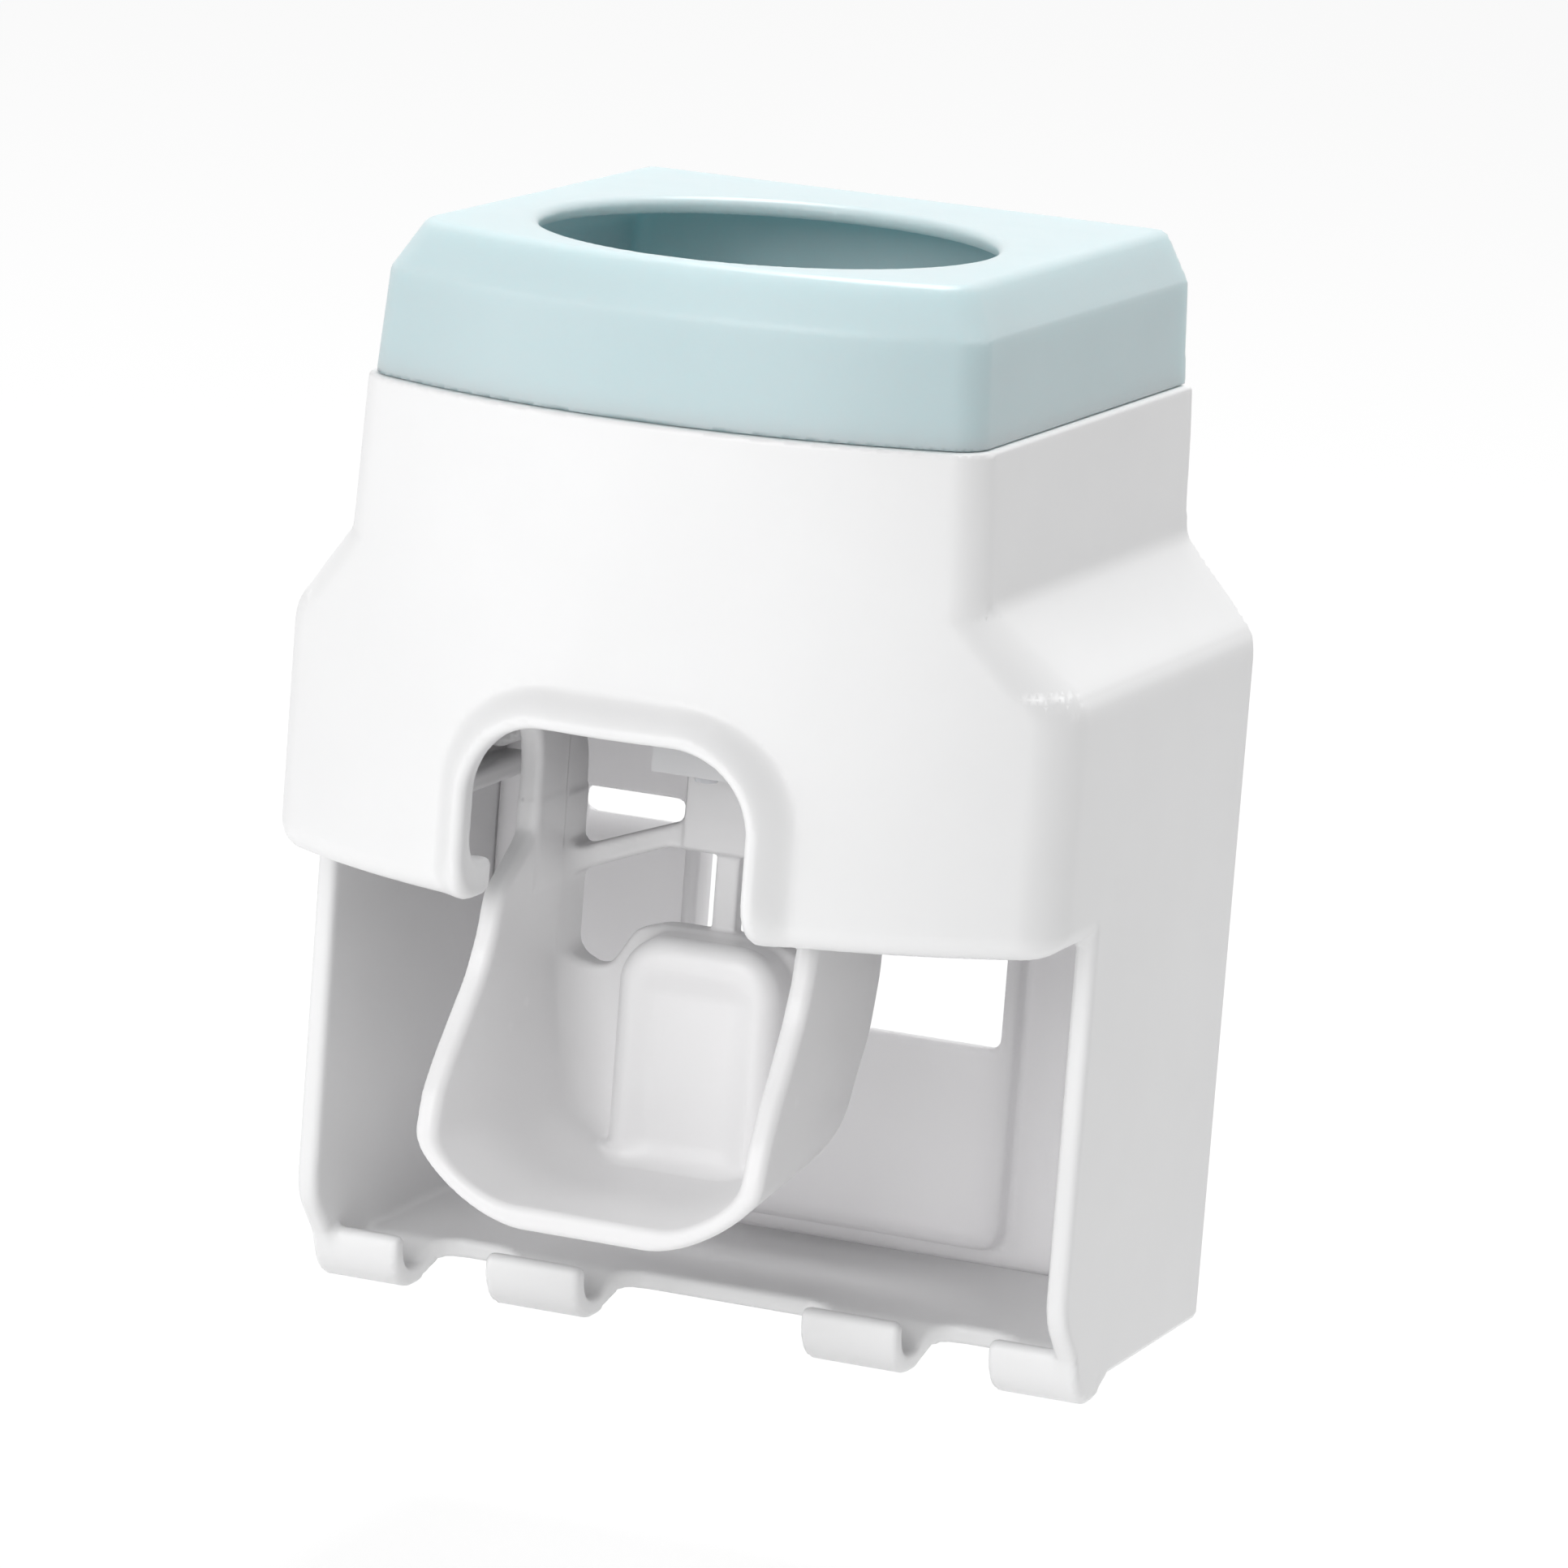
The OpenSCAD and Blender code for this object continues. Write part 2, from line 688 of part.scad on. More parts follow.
module web_outline() {
  polygon([[-arm_in - eps, cup_z + lever_t/2], [arm_in + eps, cup_z + lever_t/2],
    [arm_in + eps, strut_foot], [head_hw, strut_head], [head_hw, pump_z + nose_r],
    [-head_hw, pump_z + nose_r], [-head_hw, strut_head], [-arm_in - eps, strut_foot]]);
}

// Window over the back wall, whose sill dips on both sides of the pad
module web_window() {
  half = [[0, hump_z, 0], [6, hump_z, 3], [pad_w/2 + 1, hump_z - 1, 1.5],
    [pad_w/2 + 3.4, sill_z, 1.8], [arm_in - 0.3, sill_z + 1, 2.5],
    [arm_in - 0.3, strut_foot - 2.7, 1.5], [head_hw + 2, strut_head - 3.1, 2],
    [0, strut_head - 2.9, 0]];
  line = rounded_line(half);
  polygon(concat(line, mirrored(line)));
}

module web() {
  between(arm_back_d, web_front_d) difference() {
    web_outline();
    web_window();
  }
  block(-rib_w/2, rib_w/2, arm_back_d - 0.6, web_front_d - 0.8, hump_z - 1, strut_head);
}

// Pressed pad: a block with round edges that grows out of the back wall and the floor
module pad_layer(back_d, front_d, inset) {
  between(back_d, front_d) polygon(rounded(
    box_corners(-pad_w/2 + inset, pad_w/2 - inset, cup_z + 1.8 + inset, hump_z - 1 - inset, 3), 4));
}

module pad() {
  d = web_front_d;
  difference() {
    hull() {
      pad_layer(d - web_t/2, d + pad_h - 2, 0);
      pad_layer(d, d + pad_h - 0.7, 0.6);
      pad_layer(d, d + pad_h, 1.7);
    }
    pad_layer(d + pad_h - 0.6, d + pad_h + cut, pad_border + 1.5);
  }
}

// Cup below the arms, open to the front
module cup() {
  intersection() {
    union() {
      difference() {
        cup_form(0, arm_back_d, cup_front_d + cut);
        cup_form(lever_t, web_front_d, cup_front_d + 2*cut);
      }
      pad();
    }
    across(-body_hw, body_hw) cup_side();
  }
}

module push_cup() {
  color([0.92, 0.92, 0.93]) place() difference() {
    union() {
      difference() {
        cup();
        between(0, web_front_d + eps) web_window();
        between(0, web_front_d + eps)
          translate([-arm_in, cup_top_z]) square([2*arm_in, 3*(cup_join_z - cup_top_z)]);
      }
      intersection() {
        web();
        translate([-body_hw, -body_w, cup_top_z - 4]) cube([body_w, body_w, 40]);
      }
      pair() across(arm_in, lever_hw) arm_side();
      across(-head_hw, head_hw) {
        translate([-nose_d, pump_z]) circle(nose_r);
        translate([-arm_back_d - eps, pump_z - nose_r])
          square([arm_back_d - nose_d + eps, 2*nose_r]);
      }
    }
    translate([-body_hw, -hinge_d, hinge_z]) rotate([0, 90, 0])
      cylinder(r = pin_r, h = body_w);
  }
}

// Hinge pins and clips

pin_in = arm_in - pin_head_t;
pin_out = cheek_out + 0.2 + clip_t + 0.6;

module hinge_pins() {
  color([0.7, 0.7, 0.72]) place() pair()
    translate([0, -hinge_d, hinge_z]) rotate([0, 90, 0]) {
      translate([0, 0, pin_in]) cylinder(r = pin_r + 1, h = pin_head_t);
      translate([0, 0, pin_in]) cylinder(r = pin_r, h = pin_out - pin_in);
    }
}

module pin_clips() {
  color([0.5, 0.5, 0.53]) place() pair()
    translate([cheek_out + 0.2, -hinge_d, hinge_z]) rotate([0, 90, 0])
      difference() {
        cylinder(r = pin_r + 1.6, h = clip_t);
        translate([0, 0, -cut]) cylinder(r = pin_r, h = clip_t + 2*cut);
        translate([-0.7, 0, -cut]) cube([1.4, pin_r + 3, clip_t + 2*cut]);
      }
}

// Pump body

module cheek() {
  across(cheek_in, cheek_out) {
    translate([-hinge_d, hinge_z]) circle(pin_r + 4.5);
    translate([-hinge_d - pin_r - 4.5, hinge_z]) square([2*pin_r + 9, deck_z - hinge_z + eps]);
  }
}

module flange() {
  between(cover_t, cover_t + flange_t) polygon(rounded(
    box_corners(-flange_hw, flange_hw, flange_z, flange_top, 3)));
  pair() for (z = pump_screw_z) rod_y(pump_screw_x, z, boss_r, cover_t, screw_l + 3);
}

module pump_body() {
  color([0.80, 0.82, 0.85]) place() difference() {
    union() {
      block(-cheek_out, cheek_out, cover_t + 1, hinge_d + pin_r + 4.5, deck_z, deck_top);
      pair() cheek();
      flange();
      block(-block_hw, block_hw, cover_t + 1, block_front_d, block_z, deck_z + eps);
      rod_y(0, pump_z, barrel_r, barrel_back_d, barrel_front_d);
      block(-block_hw + 2, block_hw - 2, barrel_back_d, barrel_front_d, pump_z, block_z + eps);
      translate([0, -tube_d, deck_top - eps])
        cylinder(r = socket_r, h = socket_top - deck_top + eps);
      translate([0, -nozzle_d, block_z - nozzle_h/2])
        cylinder(r = nozzle_r - 1, h = nozzle_h/2 + eps);
    }
    // Cylinder bore, and the ducts into and out of its closed end
    rod_y(0, pump_z, bore_r, chamber_back_d, barrel_front_d + cut);
    translate([-duct_x, -duct_end_d, pump_z + 3]) cylinder(r = valve_duct_r, h = inlet_z - pump_z - 3);
    translate([duct_x, -duct_end_d, pump_z + 3]) cylinder(r = valve_duct_r, h = outlet_z - pump_z - 3);
    rod_y(0, inlet_z, duct_r, -cut, tube_d);
    rod_y(duct_x, outlet_z, valve_duct_r, -cut, nozzle_d);
    translate([0, -nozzle_d, block_z - nozzle_h]) cylinder(r = 2.4, h = outlet_z - block_z + nozzle_h);
    // Tube socket
    translate([0, -tube_d, inlet_z]) cylinder(r = duct_r, h = flap_z - inlet_z);
    translate([0, -tube_d, flap_z]) cylinder(r = seal_r, h = socket_top);
    // Hinge and screw bores
    translate([-body_hw, -hinge_d, hinge_z]) rotate([0, 90, 0])
      cylinder(r = pin_r + run_gap, h = body_w);
    pair() for (z = pump_screw_z) screw_bores(pump_screw_x, z);
  }
}

module duct_plugs() {
  color([0.55, 0.57, 0.6]) place() {
    rod_y(0, inlet_z, duct_r, cover_t + 0.1, cover_t + 5);
    rod_y(duct_x, outlet_z, valve_duct_r, cover_t + 0.1, cover_t + 5);
  }
}

// Piston set

module gland_cap() {
  seat_r = rod_r + 1.7;
  color([0.62, 0.70, 0.78]) place() difference() {
    union() {
      rod_y(0, pump_z, barrel_r, barrel_front_d, gland_front_d);
      rod_y(0, pump_z, bore_r, barrel_front_d - gland_plug, barrel_front_d + eps);
    }
    rod_y(0, pump_z, rod_r + run_gap, 0, gland_front_d + cut);
    rod_y(0, pump_z, seat_r, 0, barrel_front_d);
  }
}

// Soft ring round a rod, along Y, in its groove
module o_ring(z, d, inner_r, outer_r) {
  minor = (outer_r - inner_r)/2;
  translate([0, -d, z]) rotate([90, 0, 0]) rotate_extrude()
    translate([inner_r + minor, 0]) circle(minor, $fn = 16);
}

module rod_seal() {
  color([0.2, 0.2, 0.22]) place()
    o_ring(pump_z, barrel_front_d - 0.85, rod_r + 0.03, rod_r + 1.68);
}

groove_r = bore_r - 1.65;

module piston() {
  mid_d = (piston_front_d + piston_back_d)/2;
  color([0.9, 0.9, 0.85]) place() difference() {
    union() {
      rod_y(0, pump_z, bore_r - run_gap, piston_back_d, piston_front_d);
      rod_y(0, pump_z, rod_r, piston_front_d - eps, disc_back_d - hub_l);
      rod_y(0, pump_z, stem_r, piston_front_d - eps, disc_back_d + 0.6);
    }
    rod_y(0, pump_z, bore_r + cut, mid_d - 0.85, mid_d + 0.85);
    rod_y(0, pump_z, bore_r - 2.6, -cut, piston_back_d + 1.2);
  }
  color([0.9, 0.9, 0.85]) place()
    rod_y(0, pump_z, groove_r, mid_d - 1.2, mid_d + 1.2);
}

module piston_seal() {
  color([0.2, 0.2, 0.22]) place()
    o_ring(pump_z, (piston_front_d + piston_back_d)/2, groove_r + 0.02, bore_r - 0.03);
}

module rod_disc() {
  color([0.62, 0.70, 0.78]) place() difference() {
    union() {
      rod_y(0, pump_z, disc_r, disc_back_d, disc_front_d);
      rod_y(0, pump_z, hub_r, disc_back_d - hub_l, disc_back_d + eps);
    }
    rod_y(0, pump_z, stem_r, 0, disc_back_d + 0.6);
  }
}

// Return spring: one round wire wound along Y between the gland cap and the disc

spring_back = gland_front_d + wire/2 + 0.02;
spring_front = disc_back_d - wire/2 - 0.02;
coil_steps = 8*turns;

function coil_point(i) =
  let (t = i/coil_steps, a = 360*turns*t)
  [spring_r*cos(a), -(spring_back + (spring_front - spring_back)*t), pump_z + spring_r*sin(a)];

function coil_ring(i) =
  let (a = 360*turns*i/coil_steps)
  [for (k = [0:5]) coil_point(i)
    + wire/2*(cos(60*k)*[cos(a), 0, sin(a)] + sin(60*k)*[0, -1, 0])];

spring_pitch = (spring_front - spring_back)/turns;
echo("spring gap to itself", spring_pitch - wire);

module return_spring() {
  color([0.75, 0.75, 0.78]) place()
    loft([for (i = [0:coil_steps]) coil_ring(i)]);
}

// Tube socket pieces

module tube_seal() {
  color([0.85, 0.86, 0.9]) place() translate([0, -tube_d, seal_z]) difference() {
    cylinder(r = seal_r, h = seal_lip + tube_bore_l);
    translate([0, 0, seal_lip]) cylinder(r = tube_bore_r, h = tube_bore_l + cut);
    translate([0, 0, -cut]) cylinder(r = duct_r, h = seal_lip + 2*cut);
  }
}

module seal_ring() {
  color([0.76, 0.87, 0.87]) place() translate([0, -tube_d, socket_top]) difference() {
    union() {
      cylinder(r = socket_r, h = ring_t);
      translate([0, 0, -gland_plug]) cylinder(r = seal_r, h = gland_plug + eps);
    }
    translate([0, 0, -cut]) cylinder(r = tube_bore_r + 2.4, h = ring_t + 2*cut);
  }
}

module inlet_valve() {
  flap_r = duct_r - 0.4;
  color([0.85, 0.86, 0.9]) place() translate([0, -tube_d, flap_z]) difference() {
    cylinder(r = seal_r, h = flap_t);
    difference() {
      translate([0, 0, -cut]) cylinder(r = flap_r, h = flap_t + 2*cut);
      translate([0, 0, -2*cut]) cylinder(r = flap_r - 0.3, h = flap_t + 4*cut);
      translate([-1.2, 0, -2*cut]) cube([2.4, flap_r + 1, flap_t + 4*cut]);
    }
  }
}

// Nozzle set

module nozzle() {
  lip_t = 0.8;
  color([0.95, 0.95, 0.96]) place() translate([0, -nozzle_d, block_z - nozzle_h]) difference() {
    translate([-nozzle_r, -nozzle_r, 0]) cube([2*nozzle_r, 2*nozzle_r, nozzle_h]);
    translate([0, 0, lip_t]) cylinder(r = nozzle_r - 1, h = nozzle_h);
    translate([0, 0, -cut]) cylinder(r = 2.2, h = nozzle_h + cut);
  }
}

module outlet_valve() {
  lip_t = 0.8;
  color([0.85, 0.86, 0.9]) place() translate([0, -nozzle_d, block_z - nozzle_h]) difference() {
    union() {
      translate([0, 0, lip_t]) cylinder(r = nozzle_r - 1, h = nozzle_h/2 - lip_t);
      translate([0, 0, -1.2]) cylinder(r1 = 1.2, r2 = 2.15, h = lip_t + 1.4);
    }
    translate([0, 0, lip_t]) cylinder(r = 1.4, h = nozzle_h);
    translate([-0.15, -0.9, -1.2 - cut]) cube([0.3, 1.8, 1.2 + cut + lip_t + 0.2]);
  }
}

// Screws

module screw(x, z) {
  rod_y(x, z, head_r, 0.1, 0.1 + head_t);
  rod_y(x, z, screw_r, 0.1, 0.1 + head_t + screw_l);
}

module pump_screws() {
  color([0.6, 0.6, 0.62]) place() pair() for (z = pump_screw_z) screw(pump_screw_x, z);
}

module cover_screws() {
  color([0.6, 0.6, 0.62]) place() pair() {
    screw(body_screw_x, body_screw_z);
    screw(neck_screw_x, neck_screw_z);
  }
}

housing();
rear_cover();
tube_collar();
push_cup();
hinge_pins();
pin_clips();
pump_body();
duct_plugs();
gland_cap();
rod_seal();
piston();
piston_seal();
rod_disc();
return_spring();
tube_seal();
seal_ring();
inlet_valve();
outlet_valve();
nozzle();
pump_screws();
cover_screws();
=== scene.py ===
# Looks of the wall-hung toothpaste dispenser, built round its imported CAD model
import math

import bpy
import numpy as np
from mathutils import Matrix, Vector


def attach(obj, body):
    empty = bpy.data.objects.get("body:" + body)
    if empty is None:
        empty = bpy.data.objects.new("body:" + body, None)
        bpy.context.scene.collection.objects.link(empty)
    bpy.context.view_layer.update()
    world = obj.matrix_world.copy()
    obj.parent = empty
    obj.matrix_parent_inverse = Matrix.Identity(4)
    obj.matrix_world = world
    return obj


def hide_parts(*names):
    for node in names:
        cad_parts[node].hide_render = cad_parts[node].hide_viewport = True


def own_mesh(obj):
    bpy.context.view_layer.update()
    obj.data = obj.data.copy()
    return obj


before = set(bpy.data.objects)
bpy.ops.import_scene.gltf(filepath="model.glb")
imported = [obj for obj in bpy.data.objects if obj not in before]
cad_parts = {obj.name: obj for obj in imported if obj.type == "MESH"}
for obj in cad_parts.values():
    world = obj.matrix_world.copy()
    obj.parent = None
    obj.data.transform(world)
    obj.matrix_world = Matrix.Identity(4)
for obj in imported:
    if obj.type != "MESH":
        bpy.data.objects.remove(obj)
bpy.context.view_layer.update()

# Sizes are in mm, with heights measured from the underside of the hooks; / 1000 makes them metres
HANG_Z = 60.0

# FAR stands for no surface near; TINY and LEAST keep a division from zero
FAR = 1e9
TINY = 1e-9
LEAST = 1e-12

# Sizes that several pieces share
HALF_W = 45.0
NECK_W = 35.2
BOW_R, BOW_Y = 72.0, -3.0
SEAM_Z = 105.8

# Screws on either side of the middle: across and height
COVER_SCREWS = ((39, 60.4), (29, 92.4))
PUMP_SCREWS = ((17, 74), (17, 91))


# Distance fields: below zero inside a form, with edge as the radius of the line where two meet
def isect(a, b, edge=0.0):
    u = np.maximum(a + edge, 0)
    v = np.maximum(b + edge, 0)
    return np.minimum(np.maximum(a, b), -edge) + np.sqrt(u * u + v * v)


def union(a, b, edge=0.0):
    return -isect(-a, -b, edge)


def cut(a, b, edge=0.0):
    return isect(a, -b, edge)


def hyp(a, b):
    return np.sqrt(a * a + b * b)


def rect(u, v, u0, u1, v0, v1, corner=0.0):
    du = np.abs(u - (u0 + u1) / 2) - (u1 - u0) / 2 + corner
    dv = np.abs(v - (v0 + v1) / 2) - (v1 - v0) / 2 + corner
    outside = hyp(np.maximum(du, 0), np.maximum(dv, 0))
    return np.minimum(np.maximum(du, dv), 0) + outside - corner


def slab(u, u0, u1):
    return np.abs(u - (u0 + u1) / 2) - (u1 - u0) / 2


def ramp(value, low, high):
    """Rises smoothly from 0 at low to 1 at high."""
    t = np.clip((value - low) / (high - low), 0, 1)
    return t * t * (3 - 2 * t)


def to_segment(u, v, start, end):
    """Squared distance to the line between two points."""
    along_u, along_v = end[0] - start[0], end[1] - start[1]
    from_u, from_v = u - start[0], v - start[1]
    length = along_u * along_u + along_v * along_v + LEAST
    t = np.clip((from_u * along_u + from_v * along_v) / length, 0, 1)
    return (from_u - t * along_u) ** 2 + (from_v - t * along_v) ** 2


def polygon(u, v, points):
    """Signed distance to a closed outline."""
    u, v = np.broadcast_arrays(u, v)
    nearest = np.full(u.shape, FAR)
    inside = np.zeros(u.shape, bool)
    for start, end in zip(points, points[1:] + points[:1]):
        nearest = np.minimum(nearest, to_segment(u, v, start, end))
        slope = (end[0] - start[0]) * (v - start[1]) / (end[1] - start[1] + LEAST)
        inside ^= ((start[1] > v) != (end[1] > v)) & (u < slope + start[0])
    return np.where(inside, -1, 1) * np.sqrt(nearest)


def line_distance(u, v, points):
    """Distance to an open line."""
    nearest = FAR
    for start, end in zip(points, points[1:]):
        nearest = np.minimum(nearest, to_segment(u, v, start, end))
    return np.sqrt(nearest)


def fillet(before, corner, after, radius, steps=8):
    """The points that stand for one corner of an outline, as an arc."""
    before, corner, after = (np.array(p, float) for p in (before, corner, after))
    if radius <= 0:
        return [tuple(corner)]
    u = (before - corner) / np.linalg.norm(before - corner)
    v = (after - corner) / np.linalg.norm(after - corner)
    half = math.acos(max(-1, min(1, float(u @ v)))) / 2
    if abs(half - math.pi / 2) < 1e-3:
        return [tuple(corner)]
    centre = corner + (u + v) / np.linalg.norm(u + v) * radius / math.sin(half)
    first = corner + u * radius / math.tan(half) - centre
    last = corner + v * radius / math.tan(half) - centre
    start = math.atan2(first[1], first[0])
    end = math.atan2(last[1], last[0])
    turn = (end - start + math.pi) % (2 * math.pi) - math.pi
    angles = [start + turn * i / steps for i in range(steps + 1)]
    return [tuple(centre + radius * np.array([math.cos(a), math.sin(a)])) for a in angles]


def rounded_line(corners):
    """An open outline from corners given as (across, up, radius)."""
    out = [corners[0][:2]]
    for before, corner, after in zip(corners, corners[1:], corners[2:]):
        out += fillet(before[:2], corner[:2], after[:2], corner[2])
    return out + [corners[-1][:2]]


def rounded(corners):
    """A closed outline from corners given as (across, up, radius)."""
    out = []
    for i, corner in enumerate(corners):
        after = corners[(i + 1) % len(corners)]
        out += fillet(corners[i - 1][:2], corner[:2], after[:2], corner[2])
    return out


class Profile:
    """A smooth size against height, with the slope that turns a level distance into a true one."""

    def __init__(self, points, soften=0.0, samples=1500):
        height = np.array([p[1] for p in points])
        size = np.array([p[0] for p in points])
        order = np.argsort(height, kind="stable")
        self.height = np.linspace(height[order][0], height[order][-1], samples)
        self.size = np.interp(self.height, height[order], size[order])
        if soften:
            reach = max(1, int(soften / (self.height[1] - self.height[0])))
            kernel = np.hanning(2 * reach + 1)
            kernel /= kernel.sum()
            self.size = np.convolve(np.pad(self.size, reach, mode="edge"), kernel, mode="valid")
        self.slope = 1 / np.sqrt(1 + np.gradient(self.size, self.height) ** 2)

    def __call__(self, z):
        return np.interp(z, self.height, self.size)

    def cos(self, z):
        return np.interp(z, self.height, self.slope)


def bowed(x, y, half_width, cos, inset, edge):
    """Plan of the body: flat sides, a bowed front and round corners."""
    front = hyp(x, y - BOW_Y) - (BOW_R - inset)
    return isect((np.abs(x) - half_width) * cos, front * cos, edge)


# Fields into meshes
CORNERS = np.array([(i, j, k) for i in (0, 1) for j in (0, 1) for k in (0, 1)])
EDGES = [(a, b) for a in range(8) for b in range(a + 1, 8)
         if np.abs(CORNERS[a] - CORNERS[b]).sum() == 1]


def gradient(field, p, reach=0.02):
    """Slope of the field at each point."""
    g = np.empty_like(p)
    for i in range(3):
        offset = np.zeros(3)
        offset[i] = reach
        g[:, i] = field(*(p + offset).T) - field(*(p - offset).T)
    return g / (2 * reach)


def sample(field, low, count, step):
    """Values of the field at the points of a grid."""
    x, y, z = (low[i] + step * np.arange(count[i]) for i in range(3))
    values = field(x[:, None, None], y[None, :, None], z[None, None, :])
    return np.broadcast_to(values, tuple(count)).astype(np.float32)


def crossed(inside, count):
    """Marks the cells with corners on both sides of the surface."""
    some = np.zeros(tuple(count - 1), bool)
    every = np.ones(tuple(count - 1), bool)
    for i, j, k in CORNERS:
        part = inside[i:i + count[0] - 1, j:j + count[1] - 1, k:k + count[2] - 1]
        some |= part
        every &= part
    return some & ~every


def crossing_mean(values, cells):
    """Mean place, in each cell, of the points where its edges meet the surface."""
    at_corner = np.stack([values[tuple((cells + corner).T)] for corner in CORNERS], 1)
    total = np.zeros((len(cells), 3))
    hits = np.zeros(len(cells))
    for a, b in EDGES:
        at_a, at_b = at_corner[:, a], at_corner[:, b]
        on = (at_a < 0) != (at_b < 0)
        t = np.where(on, at_a / np.where(on, at_a - at_b, 1), 0)[:, None]
        total += np.where(on[:, None], CORNERS[a] + t * (CORNERS[b] - CORNERS[a]), 0)
        hits += on
    return total / hits[:, None]


def pull(field, points, cell_corner, step, rounds=3):
    """Moves the points on to the surface and keeps each one near its own cell."""
    longest = 0.5 * step
    slack = 0.15 * step
    for _ in range(rounds):
        slope = gradient(field, points)
        steep = np.maximum((slope * slope).sum(1), 0.05)
        move = -field(*points.T) / steep
        points = points + np.clip(move[:, None] * slope, -longest, longest)
        points = np.clip(points, cell_corner - slack, cell_corner + step + slack)
    return points


def faces_between(inside, active, count):
    """One quad for each grid edge that crosses the surface, turned to face outwards."""
    index = np.full(active.shape, -1, np.int64)
    index[active] = np.arange(active.sum())
    quads = []
    for axis in range(3):
        u, v = (axis + 1) % 3, (axis + 2) % 3
        along, du, dv = np.eye(3, dtype=int)[[axis, u, v]]
        near = inside[:count[0] - along[0], :count[1] - along[1], :count[2] - along[2]]
        far = inside[along[0]:, along[1]:, along[2]:]
        edges = np.argwhere(near != far)
        keep = (edges[:, u] > 0) & (edges[:, v] > 0)
        keep &= (edges[:, u] < count[u] - 1) & (edges[:, v] < count[v] - 1)
        edges = edges[keep]
        ring = [index[tuple((edges - a * du - b * dv).T)] for a, b in ((1, 1), (0, 1), (0, 0), (1, 0))]
        quad = np.stack(ring, 1)
        turned = ~near[tuple(edges.T)]
        quad[turned] = quad[turned][:, ::-1]
        quads.append(quad)
    return np.concatenate(quads)


def add_object(name, points, faces):
    """Adds a smoothly shaded object, from points in metres."""
    mesh = bpy.data.meshes.new(name)
    mesh.from_pydata(points.tolist(), [], faces)
    mesh.update()
    mesh.shade_smooth()
    obj = bpy.data.objects.new(name, mesh)
    bpy.context.collection.objects.link(obj)
    return obj


def skin(name, field, low, high, step):
    """Meshes the surface where the field is zero, with one vertex to a cell."""
    low = np.array(low, float)
    count = np.ceil((np.array(high) - low) / step).astype(int) + 1
    values = sample(field, low, count, step)
    inside = values < 0
    active = crossed(inside, count)
    cells = np.argwhere(active)
    points = low + step * (cells + crossing_mean(values, cells))
    points = pull(field, points, low + step * cells, step)
    slope = gradient(field, points)
    normals = slope / np.maximum(np.linalg.norm(slope, axis=1, keepdims=True), TINY)
    quads = faces_between(inside, active, count)
    obj = add_object(name, (points - [0, 0, HANG_Z]) / 1000, quads.tolist())
    obj.data.normals_split_custom_set_from_vertices(normals.tolist())
    return obj


# Housing
WALL = 2.5
FRONT_R, SHOULDER_R = 3.1, 0.65
SKIRT_Z, HEM_R, HEM_DEPTH, HEM_TOP = 52.4, 3.2, 6.2, 60
ARCH_HALF, ARCH_TOP, ARCH_R = 15.7, 72.8, 8.5
LIP_H, LIP_R, LIP_HEM_R = 3, 1.35, 2.4
LIP_FOOT, LIP_CREST = 4.6, 0.9
HOLLOW_FOOT, HOLLOW_CREST, HOLLOW_Z = 2.6, -1.0, 56.5
SIDE_IN = 42.6
HOOK_Y, HOOK_Z, HOOK_R, HOOK_TIP = -35.5, 5.2, 4.1, 0.2
SHEET_HALF, SHELF_HALF_W = 1.1, 44.9
STEP_Y, STEP_LENGTH, STEP_H, SHEET_END_Y = -33.9, 4.4, 2.3, 2
NOTCH_Y, NOTCH_R = -29, 4
WIDE_NOTCH, SIDE_NOTCH, SIDE_NOTCH_X = 13, 5.2, 29.5
POST_R, POST_BORE, POST_WEB, POST_FRONT, POST_BACK = 3.4, 1.5, 1.2, -13, -2.4
POST_WALLS = (43.8, 34)

# Half width, height and corner radius
BODY = Profile(rounded_line([(HALF_W, 40, 0), (HALF_W, 79.2, 6), (36, 89.4, 3), (NECK_W, SEAM_Z, 0),
                             (34.9, 112, 0)]))

# Depth, height and corner radius
SIDE = rounded([(3, 2.3, 0), (3, 64, 0), (-46.3, 64, 0), (-46.3, 11, 7), (-40.4, 4.6, 3),
                (-36, 0.4, 3), (-33.5, 2.3, 1)])


def bowed_front(x, y, z):
    """Shoulders and bowed front, with the arched mouth and the lip that stands up round it."""
    width, cos = BODY(z), BODY.cos(z)
    mouth = rect(x, z, -ARCH_HALF, ARCH_HALF, 0, ARCH_TOP, ARCH_R)
    shoulder = SHOULDER_R * (width - NECK_W) / (HALF_W - NECK_W)
    plan = bowed(x, y, width, cos, 0, FRONT_R + shoulder)
    lip = ramp(mouth, LIP_FOOT, LIP_CREST)
    form = isect(plan - LIP_H * lip, SKIRT_Z - z, HEM_R + LIP_HEM_R * lip)
    form = isect(form, -mouth, LIP_R)
    shell = isect(form, -(form + WALL), edge=0.3)
    hollow = plan - LIP_H * ramp(mouth, HOLLOW_FOOT, HOLLOW_CREST) + WALL
    shell = cut(shell, isect(hollow, HOLLOW_Z - z, edge=3), edge=0.7)
    below = np.maximum(plan + HEM_DEPTH, z - HEM_TOP)
    return cut(shell, below, edge=0.8)


